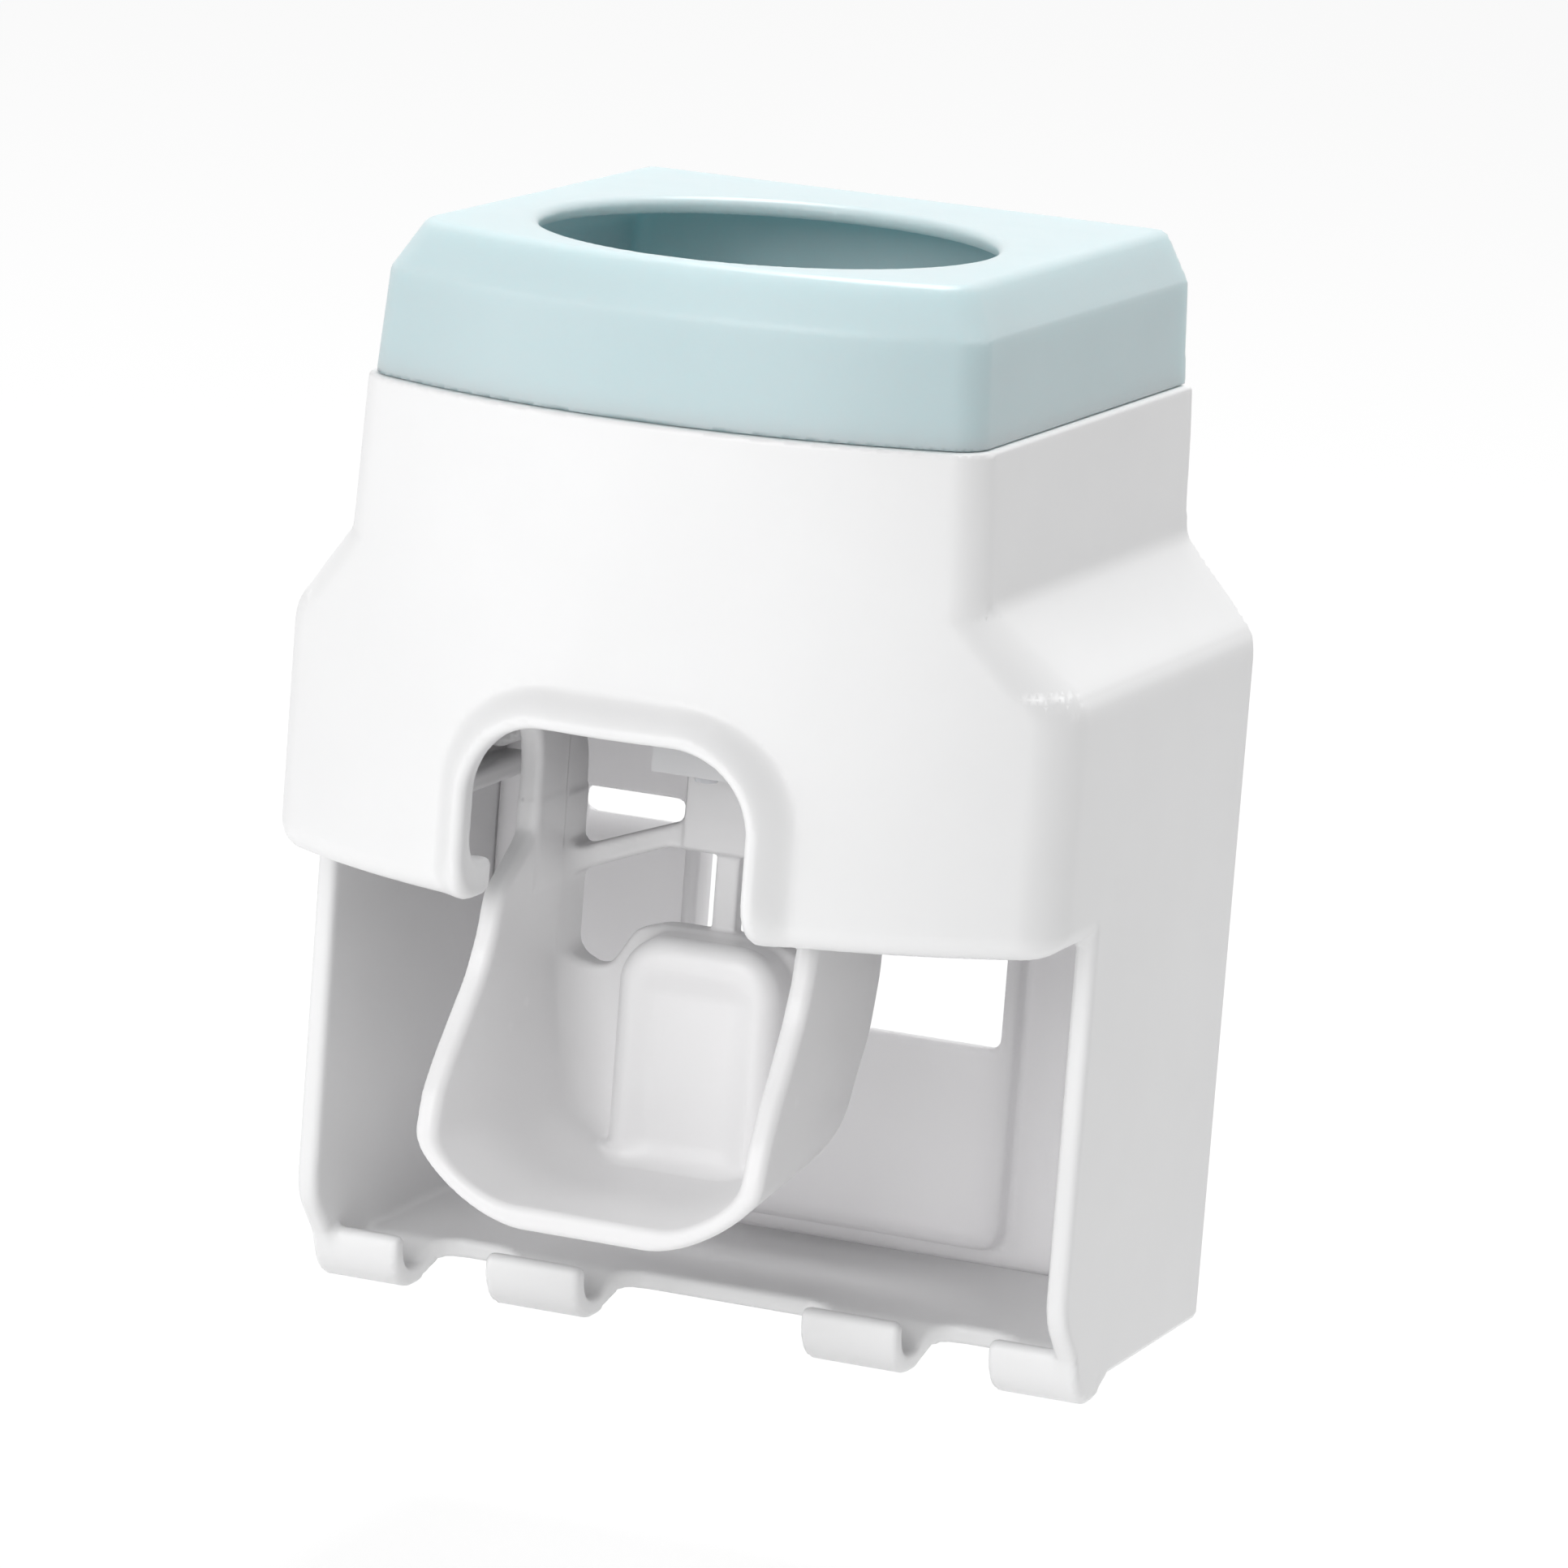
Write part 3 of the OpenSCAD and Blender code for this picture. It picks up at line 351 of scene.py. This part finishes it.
def shelf_sheet(y, z):
    """The shelf's sheet from the side: level at the back, a step down, and the curled hook."""
    from_y, from_z = y - HOOK_Y, z - HOOK_Z
    in_curl = (from_y <= 0) & (from_z <= 0)
    curl = np.where(in_curl, np.abs(hyp(from_y, from_z) - HOOK_R), FAR)
    foot_z = HOOK_Z - HOOK_R
    tip_y = HOOK_Y - HOOK_R
    tip = line_distance(y, z, [(tip_y, HOOK_Z), (tip_y, HOOK_Z + HOOK_TIP)])
    step = [(STEP_Y + STEP_LENGTH * t, foot_z + STEP_H * (0.5 - 0.5 * math.cos(math.pi * t)))
            for t in np.linspace(0, 1, 9)]
    flat = line_distance(y, z, [(HOOK_Y, foot_z)] + step + [(SHEET_END_Y, foot_z + STEP_H)])
    return np.minimum(np.minimum(curl, tip), flat) - SHEET_HALF


def shelf(x, y, z):
    """The shelf with its wide notch and the two side ones."""
    wide = isect(np.abs(x) - WIDE_NOTCH, y - NOTCH_Y, NOTCH_R)
    side = isect(np.abs(np.abs(x) - SIDE_NOTCH_X) - SIDE_NOTCH, y - NOTCH_Y, NOTCH_R)
    sheet = isect(shelf_sheet(y, z), np.abs(x) - SHELF_HALF_W, edge=0.7)
    return cut(sheet, np.minimum(wide, side), edge=0.7)


def post(x, y, z, post_x, post_z, wall):
    """A pair of screw posts, each with a web to the side wall."""
    from_axis = hyp(np.abs(x) - post_x, z - post_z)
    depth = slab(y, POST_FRONT, POST_BACK)
    web = rect(np.abs(x), z, post_x, wall, post_z - POST_WEB, post_z + POST_WEB)
    solid = np.minimum(isect(from_axis - POST_R, depth, edge=0.3), isect(web, depth, edge=0.3))
    return cut(solid, from_axis - POST_BORE, edge=0.2)


def housing_field(x, y, z):
    shell = bowed_front(x, y, z)
    walls = isect(polygon(y, z, SIDE), slab(np.abs(x), SIDE_IN, HALF_W), edge=0.9)
    shell = union(shell, walls, edge=0.7)
    shell = union(shell, shelf(x, y, z), edge=0.9)
    for (post_x, post_z), wall in zip(COVER_SCREWS, POST_WALLS):
        shell = union(shell, post(x, y, z, post_x, post_z, wall), edge=0.4)
    shell = np.maximum(isect(shell, z - SEAM_Z, edge=0.45), np.abs(x) - HALF_W)
    return isect(shell, y, edge=0.35)


# Tube collar
COLLAR_W, COLLAR_FOOT, COLLAR_TOP = 34.4, 105.85, 122.5
COLLAR_INSET = 0.8
COLLAR_R, SPIGOT_R, CAVITY_R = 2.6, 2.2, 1.8
SPIGOT_GAP, SPIGOT_FOOT, SPIGOT_TOP, SPIGOT_BACK = 1.95, 97.8, 107, -2.75
CAVITY_GAP, CAVITY_TOP, CAVITY_BACK = 3.75, 120.5, -3.2
TUBE_Y, TUBE_HALF_W, TUBE_HALF_D, TUBE_FOOT = -40.6, 24, 27, 110

# Half width, height and corner radius
COLLAR = Profile(rounded_line([(34.45, 96, 0), (COLLAR_W, SEAM_Z, 0), (33.7, 117.2, 1.2),
                               (30.7, COLLAR_TOP, 0), (30.1, 123.6, 0)]))


def ellipse(u, v, half_u, half_v):
    """Distance to an ellipse about the origin, true close to its edge."""
    across, along = u / half_u, v / half_v
    reach = hyp(across, along) + TINY
    steep = hyp(across / half_u, along / half_v) + TINY
    return reach * (reach - 1) / steep


def collar_field(x, y, z):
    width, cos = COLLAR(z), COLLAR.cos(z)
    inset = COLLAR_INSET + COLLAR_W - width
    block = isect(bowed(x, y, width, cos, inset, COLLAR_R), z - COLLAR_TOP, edge=0.7)
    block = isect(block, y, edge=0.5)
    block = isect(block, COLLAR_FOOT - z, edge=0.3)
    spigot = bowed(x, y, width - SPIGOT_GAP, cos, inset + SPIGOT_GAP, SPIGOT_R)
    spigot = isect(spigot, SPIGOT_FOOT - z, edge=0.5)
    spigot = isect(spigot, y - SPIGOT_BACK, edge=0.5)
    solid = np.minimum(block, isect(spigot, z - SPIGOT_TOP))
    cavity = bowed(x, y, width - CAVITY_GAP, cos, inset + CAVITY_GAP, CAVITY_R)
    cavity = isect(cavity, y - CAVITY_BACK, edge=1.5)
    cavity = isect(cavity, z - CAVITY_TOP, edge=1.5)
    solid = cut(solid, cavity, edge=0.4)
    opening = ellipse(x, y - TUBE_Y, TUBE_HALF_W, TUBE_HALF_D)
    return cut(solid, np.maximum(opening, TUBE_FOOT - z), edge=1.1)


# Push cup
CUP_BACK, CUP_FOOT, CUP_TOP, CUP_DEPTH = -38.6, 18.5, 60, 35
CUP_WALL, CUP_BACK_WALL = 2.6, 2.5
BACK_CORNER_R, RIM_CORNER_R = 12, 9
PAD_X, PAD_HALF, PAD_FOOT, PAD_TOP, PAD_R = 0.9, 9.3, 16, 46.2, 5.5
PAD_FRONT, PAD_BACK, PAD_GAP = -48.4, -39, 1
DISH_Y, DISH_Z, DISH_R, DISH_HALF_W, DISH_HALF_H = -51.2, 32, 3.8, 3.8, 7.6
ARM_IN, ARM_OUT, ARM_END_R = 16.6, 19.3, 7.5
HINGE_Y, HINGE_Z, HINGE_BORE = -51, 76, 2.0
RIB_X, RIB_HALF, RIB_FOOT, RIB_TOP, RIB_FRONT, RIB_BACK = 0.5, 1.4, 44, 58, -40.2, -37.9
NOSE_HALF, NOSE_FOOT, NOSE_TOP, NOSE_HEEL = 4.4, 56.5, 63.5, 2
NOSE_Y, NOSE_Z, NOSE_R = -38, 60, 3.5
BLOCK_FOOT, BLOCK_FRONT = 55, -41.6
WEB_CUT_FRONT, WEB_CUT_BACK = -45, -30

# Half width or depth, and height
RIM_W = Profile([(11, 10), (19.9, 26), (20.2, 33), (20.0, 38), (19.45, 45), (19.3, 50), (19.3, 90)],
                soften=3)
BACK_W = Profile([(11, 10), (15.2, 22), (17.2, 32.6), (18.5, 38), (19.3, 45), (19.3, 90)], soften=3)
RIM_Y = Profile([(-73.5, 14), (-73.5, 27.5), (-72.4, 31.4), (-70, 35.2), (-67, 39), (-64, 43),
                 (-62, 47), (-61, 51), (-60.2, 52), (-54, 56), (-53.1, 57), (-53, 90)], soften=1.6)

# Depth, height and corner radius
ARM = rounded([(-53, 50, 0), (CUP_BACK, 50, 0), (CUP_BACK, 64, 8), (-44.2, 72, 3), (-46, 80, 0),
               (-56, 80, 0), (-57, 72, 3), (-53, 66, 8)])


def mirrored(left):
    """An outline that is the same on both sides, from the corners of its left half."""
    return rounded(left + [(-across, up, radius) for across, up, radius in reversed(left)])


# Half outlines of the openings in the web: across, height and corner radius
WINDOW = mirrored([(-6.4, 54.7, 2), (-16.3, 50.7, 1.5), (-16.3, 41.9, 2.6), (-12.4, 40.2, 2.2),
                   (-9.3, 45.2, 2.2), (-6, 46.3, 3)])
ABOVE = mirrored([(-ARM_IN, 90, 0), (-ARM_IN, 53.3, 1), (-NOSE_HALF, 57.9, 2),
                  (-NOSE_HALF, NOSE_TOP, 0)])


def cup_pad(x, y, z):
    """The raised pad at the back of the cup, with its dish."""
    pad = rect(x, z, PAD_X - PAD_HALF, PAD_X + PAD_HALF, PAD_FOOT, PAD_TOP, PAD_R)
    pad = isect(pad, PAD_FRONT - y, edge=2.4)
    past_x = np.maximum(np.abs(x - PAD_X) - DISH_HALF_W, 0)
    past_z = np.maximum(np.abs(z - DISH_Z) - DISH_HALF_H, 0)
    dish = hyp(hyp(past_x, past_z), y - DISH_Y) - DISH_R
    return np.maximum(cut(pad, dish, edge=0.8), y - PAD_BACK)


def cup_arms(x, y, z):
    """The two arms with round ends about the hinge."""
    across = slab(np.abs(x), ARM_IN, ARM_OUT)
    arm = isect(polygon(y, z, ARM), across, edge=0.9)
    end = isect(hyp(y - HINGE_Y, z - HINGE_Z) - ARM_END_R, across, edge=0.9)
    return np.minimum(arm, end)


def cup_nose(x, y, z):
    """The rib up the web, the block at its top and the nose that presses the pump."""
    rib = rect(x, z, RIB_X - RIB_HALF, RIB_X + RIB_HALF, RIB_FOOT, RIB_TOP)
    rib = isect(rib, slab(y, RIB_FRONT, RIB_BACK), edge=0.4)
    block = rect(x, z, -NOSE_HALF, NOSE_HALF, BLOCK_FOOT, NOSE_TOP, corner=0.3)
    block = isect(block, slab(y, BLOCK_FRONT, NOSE_Y), edge=0.4)
    heel = rect(y, z, NOSE_Y - NOSE_HEEL, NOSE_Y, NOSE_FOOT, NOSE_TOP)
    nose = np.minimum(hyp(y - NOSE_Y, z - NOSE_Z) - NOSE_R, heel)
    nose = isect(nose, np.abs(x) - NOSE_HALF, edge=0.5)
    return np.minimum(np.minimum(rib, block), nose)


def cup_field(x, y, z):
    forward = np.clip((CUP_BACK - y) / CUP_DEPTH, 0, 1)
    width = RIM_W(z) * forward + BACK_W(z) * (1 - forward)
    corner = BACK_CORNER_R + (RIM_CORNER_R - BACK_CORNER_R) * forward
    trough = isect(np.abs(x) - width, CUP_FOOT - z, corner)
    solid = isect(trough, y - CUP_BACK, edge=3)
    solid = isect(solid, (RIM_Y(z) - y) * RIM_Y.cos(z), edge=1.1)
    hollow = isect(trough + CUP_WALL, y - CUP_BACK + CUP_BACK_WALL, edge=5)
    solid = cut(solid, hollow, edge=1.1)
    solid = union(solid, isect(cup_pad(x, y, z), trough + PAD_GAP), edge=1.6)
    solid = isect(solid, z - CUP_TOP)
    solid = union(solid, cup_arms(x, y, z), edge=0.3)
    through = slab(y, WEB_CUT_FRONT, WEB_CUT_BACK)
    solid = cut(solid, isect(polygon(x, z, WINDOW), through), edge=0.7)
    solid = cut(solid, isect(polygon(x, z, ABOVE), through), edge=0.6)
    solid = union(solid, cup_nose(x, y, z), edge=0.5)
    return cut(solid, hyp(y - HINGE_Y, z - HINGE_Z) - HINGE_BORE, edge=0.2)


# Rear cover
COVER_FRONT = -2.4
WINDOW_X = 2.1
POCKET_HALF, POCKET_FOOT, POCKET_TOP, POCKET_FRONT, POCKET_BACK = 20.5, 6.6, 52.6, -4.9, -0.3
FRAME_HALF, RECESS_FOOT, RECESS_TOP, RECESS_FRONT = 18.7, 8.4, 30.1, -3.1
OPEN_FOOT, OPEN_TOP = 29.7, 50.8
SIDE_WINDOW_IN, SIDE_WINDOW_OUT, SIDE_WINDOW_TOP, SIDE_WINDOW_FOOT = 21.7, 34.3, 52, 46.2
SCREW_R, HEAD_R, HEAD_SEAT = 1.7, 3.0, -1.4

# Across and height
COVER_EDGE = [(-42.4, 4.45), (42.4, 4.45), (42.4, 77.2), (32.6, 89.4), (32.6, 105.6), (-32.6, 105.6),
              (-32.6, 89.4), (-42.4, 77.2)]


def cover_field(x, y, z):
    plate = isect(polygon(x, z, COVER_EDGE), slab(y, COVER_FRONT, 0), edge=0.3)
    across = x - WINDOW_X
    pocket = rect(across, z, -POCKET_HALF, POCKET_HALF, POCKET_FOOT, POCKET_TOP, corner=2.5)
    pocket = isect(pocket, slab(y, POCKET_FRONT, POCKET_BACK), edge=0.6)
    solid = union(plate, pocket, edge=0.5)
    recess = rect(across, z, -FRAME_HALF, FRAME_HALF, RECESS_FOOT, RECESS_TOP, corner=1.2)
    solid = cut(solid, isect(recess, RECESS_FRONT - y, edge=0.6), edge=0.3)
    opening = rect(across, z, -FRAME_HALF, FRAME_HALF, OPEN_FOOT, OPEN_TOP, corner=1.2)
    solid = cut(solid, opening, edge=0.35)
    side = slab(np.abs(across), SIDE_WINDOW_IN, SIDE_WINDOW_OUT)
    side = isect(side, z - SIDE_WINDOW_TOP, edge=1.2)
    slope = (SIDE_WINDOW_FOOT - z) * 0.6 + (y - COVER_FRONT) * 0.8
    solid = cut(solid, isect(side, slope, edge=0.3), edge=0.3)
    for screw_x, screw_z in COVER_SCREWS + PUMP_SCREWS:
        from_axis = hyp(np.abs(x) - screw_x, z - screw_z)
        solid = cut(solid, from_axis - SCREW_R, edge=0.1)
        solid = cut(solid, np.maximum(from_axis - HEAD_R, HEAD_SEAT - y), edge=0.2)
    return solid


# Return spring
SPRING_R, WIRE_R, TURNS = 5.2, 0.35, 4.5
SPRING_BACK, SPRING_FRONT = -23.87, -31.88
END_TURN, END_RISE, END_R = 0.8, 0.62, 0.72
RINGS, RING_SIDES, SMOOTHED = 240, 14, 9


def spring_line():
    """The wire's middle line, its direction and the way out from the axis, ring by ring."""
    turn = np.linspace(0, TURNS, RINGS)
    span = SPRING_BACK - SPRING_FRONT
    rise = np.interp(turn, [0, END_TURN, TURNS - END_TURN, TURNS], [0, END_RISE, span - END_RISE, span])
    kernel = np.hanning(2 * SMOOTHED + 1)
    padded = np.pad(rise, SMOOTHED, mode="edge")
    rise = np.clip(np.convolve(padded, kernel / kernel.sum(), mode="valid"), 0, span)
    angle = 2 * math.pi * turn
    line = np.stack([SPRING_R * np.cos(angle), SPRING_BACK - rise, SPRING_R * np.sin(angle)], 1)
    along = np.gradient(line, axis=0)
    along /= np.linalg.norm(along, axis=1, keepdims=True)
    out = np.stack([np.cos(angle), 0 * angle, np.sin(angle)], 1)
    return line, along, out


def spring_mesh():
    """One round wire whose end turns close up against the gland cap and the disc."""
    line, along, out = spring_line()
    side = np.cross(along, out)
    thick = np.full(RINGS, WIRE_R)
    thick[[0, -1]] = WIRE_R * END_R
    points, quads = [], []
    for i in range(RINGS):
        for k in range(RING_SIDES):
            b = 2 * math.pi * k / RING_SIDES
            points.append(line[i] + thick[i] * (math.cos(b) * out[i] + math.sin(b) * side[i]))
    for here in range(0, (RINGS - 1) * RING_SIDES, RING_SIDES):
        after = here + RING_SIDES
        for k in range(RING_SIDES):
            j = (k + 1) % RING_SIDES
            quads.append((here + k, here + j, after + j, after + k))
    quads.append(tuple(range(RING_SIDES)))
    quads.append(tuple((RINGS - 1) * RING_SIDES + k for k in reversed(range(RING_SIDES))))
    return add_object("spring_coil", np.array(points) / 1000, quads)


# The pieces, each with the box that its field is sampled in and the size of a cell
def piece(name, field, low, high, step, body, node):
    obj = skin(name, field, low, high, step)
    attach(obj, body)
    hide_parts(node)
    return obj


COARSE = 1.0
housing = piece("housing_skin", housing_field, (-46, -79.5, -1), (46, 1, 107), 0.7 * COARSE,
                "shell", "housing")
collar = piece("collar_skin", collar_field, (-36, -75.5, 96.5), (36, 1, 123.5), 0.6 * COARSE,
               "collar", "tube_collar")
cup = piece("cup_skin", cup_field, (-21.5, -75, 17.5), (21.5, -33, 84.5), 0.5 * COARSE,
            "lever", "push_cup")
cover = piece("cover_skin", cover_field, (-43.5, -7.5, 3.5), (43.5, 1, 107), 0.6 * COARSE,
              "shell", "rear_cover")

spring = spring_mesh()
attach(spring, "shell")
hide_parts("return_spring")
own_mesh(spring)


# Materials
# The scuff noise varies the gloss and also sets the patches of the painted edge highlight
CLOUD_SCALE, SCUFF_AND_HIGHLIGHT_SCALE, GRAIN_SCALE = 28, 160, 2200
GRAIN_DEPTH = 0.0002
# How much lighter the painted highlight makes sharp convex edges
EDGE_HIGHLIGHT = 1.06


def add_node(tree, kind, **inputs):
    """Adds a shader node, with spaces for the underscores in the names of its inputs."""
    node = tree.nodes.new("ShaderNode" + kind)
    for name, value in inputs.items():
        node.inputs[name.replace("_", " ")].default_value = value
    return node


def noise(tree, coord, scale, detail):
    node = add_node(tree, "TexNoise", Scale=scale, Detail=detail)
    tree.links.new(coord.outputs["Object"], node.inputs["Vector"])
    return node.outputs["Fac"]


def math_node(tree, operation, first, second):
    """Joins two outputs by an operation, such as MULTIPLY or MAXIMUM."""
    node = add_node(tree, "Math")
    node.operation = operation
    tree.links.new(first, node.inputs[0])
    tree.links.new(second, node.inputs[1])
    return node.outputs[0]


def shade(colour, factor):
    return [min(1, c * factor) for c in colour] + [1]


def clouded(tree, coord, colour, vary):
    """The colour with soft clouds a little darker and lighter."""
    tint = add_node(tree, "ValToRGB")
    dark, light = tint.color_ramp.elements
    dark.position = 0.3
    dark.color = shade(colour, 1 - vary)
    light.position = 0.7
    light.color = shade(colour, 1 + vary)
    tree.links.new(noise(tree, coord, CLOUD_SCALE, 4), tint.inputs["Fac"])
    return tint.outputs["Color"]


def painted_edge_highlight(tree, colour, clouds, scuff_and_highlight):
    """The clouded colour with a painted highlight: lighter on sharp convex edges, in patches set by the
    scuff noise.
    """
    shape = add_node(tree, "NewGeometry")
    edge = add_node(tree, "MapRange", From_Min=0.52, From_Max=0.62, To_Min=0, To_Max=1)
    tree.links.new(shape.outputs["Pointiness"], edge.inputs["Value"])
    mix = add_node(tree, "Mix")
    mix.data_type = "RGBA"
    mix.inputs[7].default_value = shade(colour, EDGE_HIGHLIGHT)
    tree.links.new(math_node(tree, "MULTIPLY", edge.outputs["Result"], scuff_and_highlight), mix.inputs[0])
    tree.links.new(clouds, mix.inputs[6])
    return mix.outputs[2]


def plastic(name, colour, rough, grain=0.04, vary=0.02, glow=0.0, glow_colour=(0.6, 1.0, 1.0),
            depth=0.012):
    """Moulded plastic with clouds, scuffs in its gloss, a painted highlight on sharp edges and a fine
    grain; glow lets light through its walls.
    """
    material = bpy.data.materials.new(name)
    material.use_nodes = True
    tree = material.node_tree
    surface = tree.nodes["Principled BSDF"]
    coord = add_node(tree, "TexCoord")
    scuff_and_highlight = noise(tree, coord, SCUFF_AND_HIGHLIGHT_SCALE, 6)
    clouds = clouded(tree, coord, colour, vary)
    # Base colour: the clouds, with a painted highlight on sharp convex edges
    tree.links.new(painted_edge_highlight(tree, colour, clouds, scuff_and_highlight), surface.inputs["Base Color"])
    gloss = add_node(tree, "MapRange", To_Min=rough - 0.05, To_Max=rough + 0.06)
    tree.links.new(scuff_and_highlight, gloss.inputs["Value"])
    tree.links.new(gloss.outputs["Result"], surface.inputs["Roughness"])
    bump = add_node(tree, "Bump", Strength=grain, Distance=GRAIN_DEPTH)
    tree.links.new(noise(tree, coord, GRAIN_SCALE, 3), bump.inputs["Height"])
    tree.links.new(bump.outputs["Normal"], surface.inputs["Normal"])
    surface.inputs["IOR"].default_value = 1.5
    if glow:
        surface.inputs["Subsurface Weight"].default_value = glow
        surface.inputs["Subsurface Scale"].default_value = depth
        surface.inputs["Subsurface Radius"].default_value = glow_colour
    return material


def metal(name, colour, rough):
    material = plastic(name, colour, rough, grain=0.08, vary=0.05)
    material.node_tree.nodes["Principled BSDF"].inputs["Metallic"].default_value = 1.0
    return material


white = plastic("white_abs", (0.87, 0.87, 0.873), rough=0.36)
cup_white = plastic("white_abs_cup", (0.88, 0.875, 0.88), rough=0.36)
cover_white = plastic("white_abs_cover", (0.89, 0.875, 0.895), rough=0.42, glow=0.6,
                      glow_colour=(1.0, 0.97, 1.0))
teal = plastic("teal_abs", (0.54, 0.66, 0.685), rough=0.34, glow=0.6, glow_colour=(0.7, 1.0, 1.0),
               depth=0.007)
pump_white = plastic("pump_white", (0.78, 0.78, 0.79), rough=0.45)
pump_grey = plastic("pump_grey", (0.36, 0.33, 0.345), rough=0.5)
grey = plastic("inner_grey", (0.55, 0.57, 0.60), rough=0.5)
cream = plastic("piston_cream", (0.80, 0.78, 0.70), rough=0.4)
black = plastic("seal_black", (0.03, 0.03, 0.032), rough=0.6, grain=0.1)
clear = plastic("seal_clear", (0.72, 0.75, 0.78), rough=0.5, glow=0.3)
steel = metal("steel", (0.62, 0.62, 0.63), rough=0.3)

MADE = ((housing, white), (collar, teal), (cup, cup_white), (cover, cover_white), (spring, steel))
for obj, material in MADE:
    obj.data.materials.append(material)

CARRIED = {
    "hinge_pins": steel, "pin_clips": steel, "pump_body": pump_grey, "duct_plugs": grey,
    "gland_cap": grey, "rod_seal": black, "piston": cream, "piston_seal": black, "rod_disc": grey,
    "tube_seal": clear, "seal_ring": grey, "inlet_valve": clear, "outlet_valve": clear,
    "nozzle": pump_white, "pump_screws": steel, "cover_screws": steel}
for node, material in CARRIED.items():
    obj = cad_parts[node]
    if not obj.material_slots:
        obj.data.materials.append(material)
    for slot in obj.material_slots:
        slot.material = material


# Floor and surroundings
FLOOR_HALF, FLOOR_Z = 4.0, -0.09
FLOOR_GLOW, FLOOR_GLOW_SHARE = 1.06, 0.85
SKY_LIGHT = 0.26
WHITE = (1, 1, 1, 1)


def seen_directly(tree):
    """Gives 1 to rays from the camera and from mirroring surfaces, and 0 to all others."""
    path = add_node(tree, "LightPath")
    return math_node(tree, "MAXIMUM", path.outputs["Is Camera Ray"], path.outputs["Is Glossy Ray"])


def mix_shaders(tree, share, first, second):
    mix = add_node(tree, "MixShader")
    tree.links.new(share, mix.inputs["Fac"])
    tree.links.new(first.outputs[0], mix.inputs[1])
    tree.links.new(second.outputs[0], mix.inputs[2])
    return mix.outputs[0]


def floor_material():
    material = bpy.data.materials.new("floor_white")
    material.use_nodes = True
    tree = material.node_tree
    surface = tree.nodes["Principled BSDF"]
    surface.inputs["Base Color"].default_value = (0.9, 0.9, 0.9, 1)
    surface.inputs["Roughness"].default_value = 0.9
    surface.inputs["Specular IOR Level"].default_value = 0.0
    glow = add_node(tree, "Emission", Strength=FLOOR_GLOW)
    share = add_node(tree, "Math")
    share.operation = "MULTIPLY"
    share.inputs[1].default_value = FLOOR_GLOW_SHARE
    tree.links.new(seen_directly(tree), share.inputs[0])
    mixed = mix_shaders(tree, share.outputs[0], surface, glow)
    tree.links.new(mixed, tree.nodes["Material Output"].inputs["Surface"])
    return material


floor_corners = np.array([(-1, -1, 0), (1, -1, 0), (1, 1, 0), (-1, 1, 0)])
floor = add_object("floor", FLOOR_HALF * floor_corners, [(0, 1, 2, 3)])
floor.location = (0, 0, FLOOR_Z)
floor.data.materials.append(floor_material())

world = bpy.data.worlds.new("studio")
bpy.context.scene.world = world
world.use_nodes = True
sky = world.node_tree.nodes["Background"]
sky.inputs["Color"].default_value = WHITE
sky.inputs["Strength"].default_value = SKY_LIGHT
backdrop = add_node(world.node_tree, "Background", Color=WHITE, Strength=1.0)
mixed = mix_shaders(world.node_tree, seen_directly(world.node_tree), sky, backdrop)
world.node_tree.links.new(mixed, world.node_tree.nodes["World Output"].inputs["Surface"])


# Lamps
LAMP_TARGET = Vector((0, -0.035, 0))
LAMP_SIZE, LAMP_DISTANCE = 0.6, 1.1


def backward(azimuth, elevation):
    """The direction from a target to one who looks at it from there."""
    return Vector((math.sin(azimuth) * math.cos(elevation),
                   -math.cos(azimuth) * math.cos(elevation), math.sin(elevation)))


def lamp(name, azimuth, elevation, power):
    """A soft square lamp that looks at the middle of the object."""
    towards = LAMP_DISTANCE * backward(math.radians(azimuth), math.radians(elevation))
    data = bpy.data.lights.new(name, "AREA")
    data.energy = power
    data.size = LAMP_SIZE
    obj = bpy.data.objects.new(name, data)
    obj.location = LAMP_TARGET + towards
    obj.rotation_euler = (LAMP_TARGET - obj.location).to_track_quat("-Z", "Y").to_euler()
    bpy.context.collection.objects.link(obj)


lamp("front", azimuth=0, elevation=28, power=4.0)
lamp("low", azimuth=0, elevation=3, power=1.1)
lamp("left", azimuth=-45, elevation=10, power=2.2)
lamp("above", azimuth=172, elevation=75, power=11.0)


# Camera, as fitted to the photograph
AZIMUTH, ELEVATION, ROLL = (math.radians(v) for v in (20.73, 11.04, 4.42))
DISTANCE = 0.94659
LOOK_AT = Vector((0.00356, -0.033, (61.87 - HANG_Z) / 1000))
PHOTO_PX, FOCAL_PX, SENSOR = 1932, 10787.6, 36

back = backward(AZIMUTH, ELEVATION)
level = Vector((math.cos(AZIMUTH), math.sin(AZIMUTH), 0))
upright = back.cross(level)
right = math.cos(ROLL) * level + math.sin(ROLL) * upright
up = -math.sin(ROLL) * level + math.cos(ROLL) * upright
place = LOOK_AT + back * DISTANCE
camera_data = bpy.data.cameras.new("camera")
camera_data.sensor_width = SENSOR
camera_data.lens = FOCAL_PX * SENSOR / PHOTO_PX
camera_data.clip_end = 50
camera = bpy.data.objects.new("camera", camera_data)
camera.matrix_world = Matrix(((right.x, up.x, back.x, place.x), (right.y, up.y, back.y, place.y),
                              (right.z, up.z, back.z, place.z), (0, 0, 0, 1)))
bpy.context.collection.objects.link(camera)
bpy.context.scene.camera = camera
bpy.context.scene.view_settings.view_transform = "Standard"
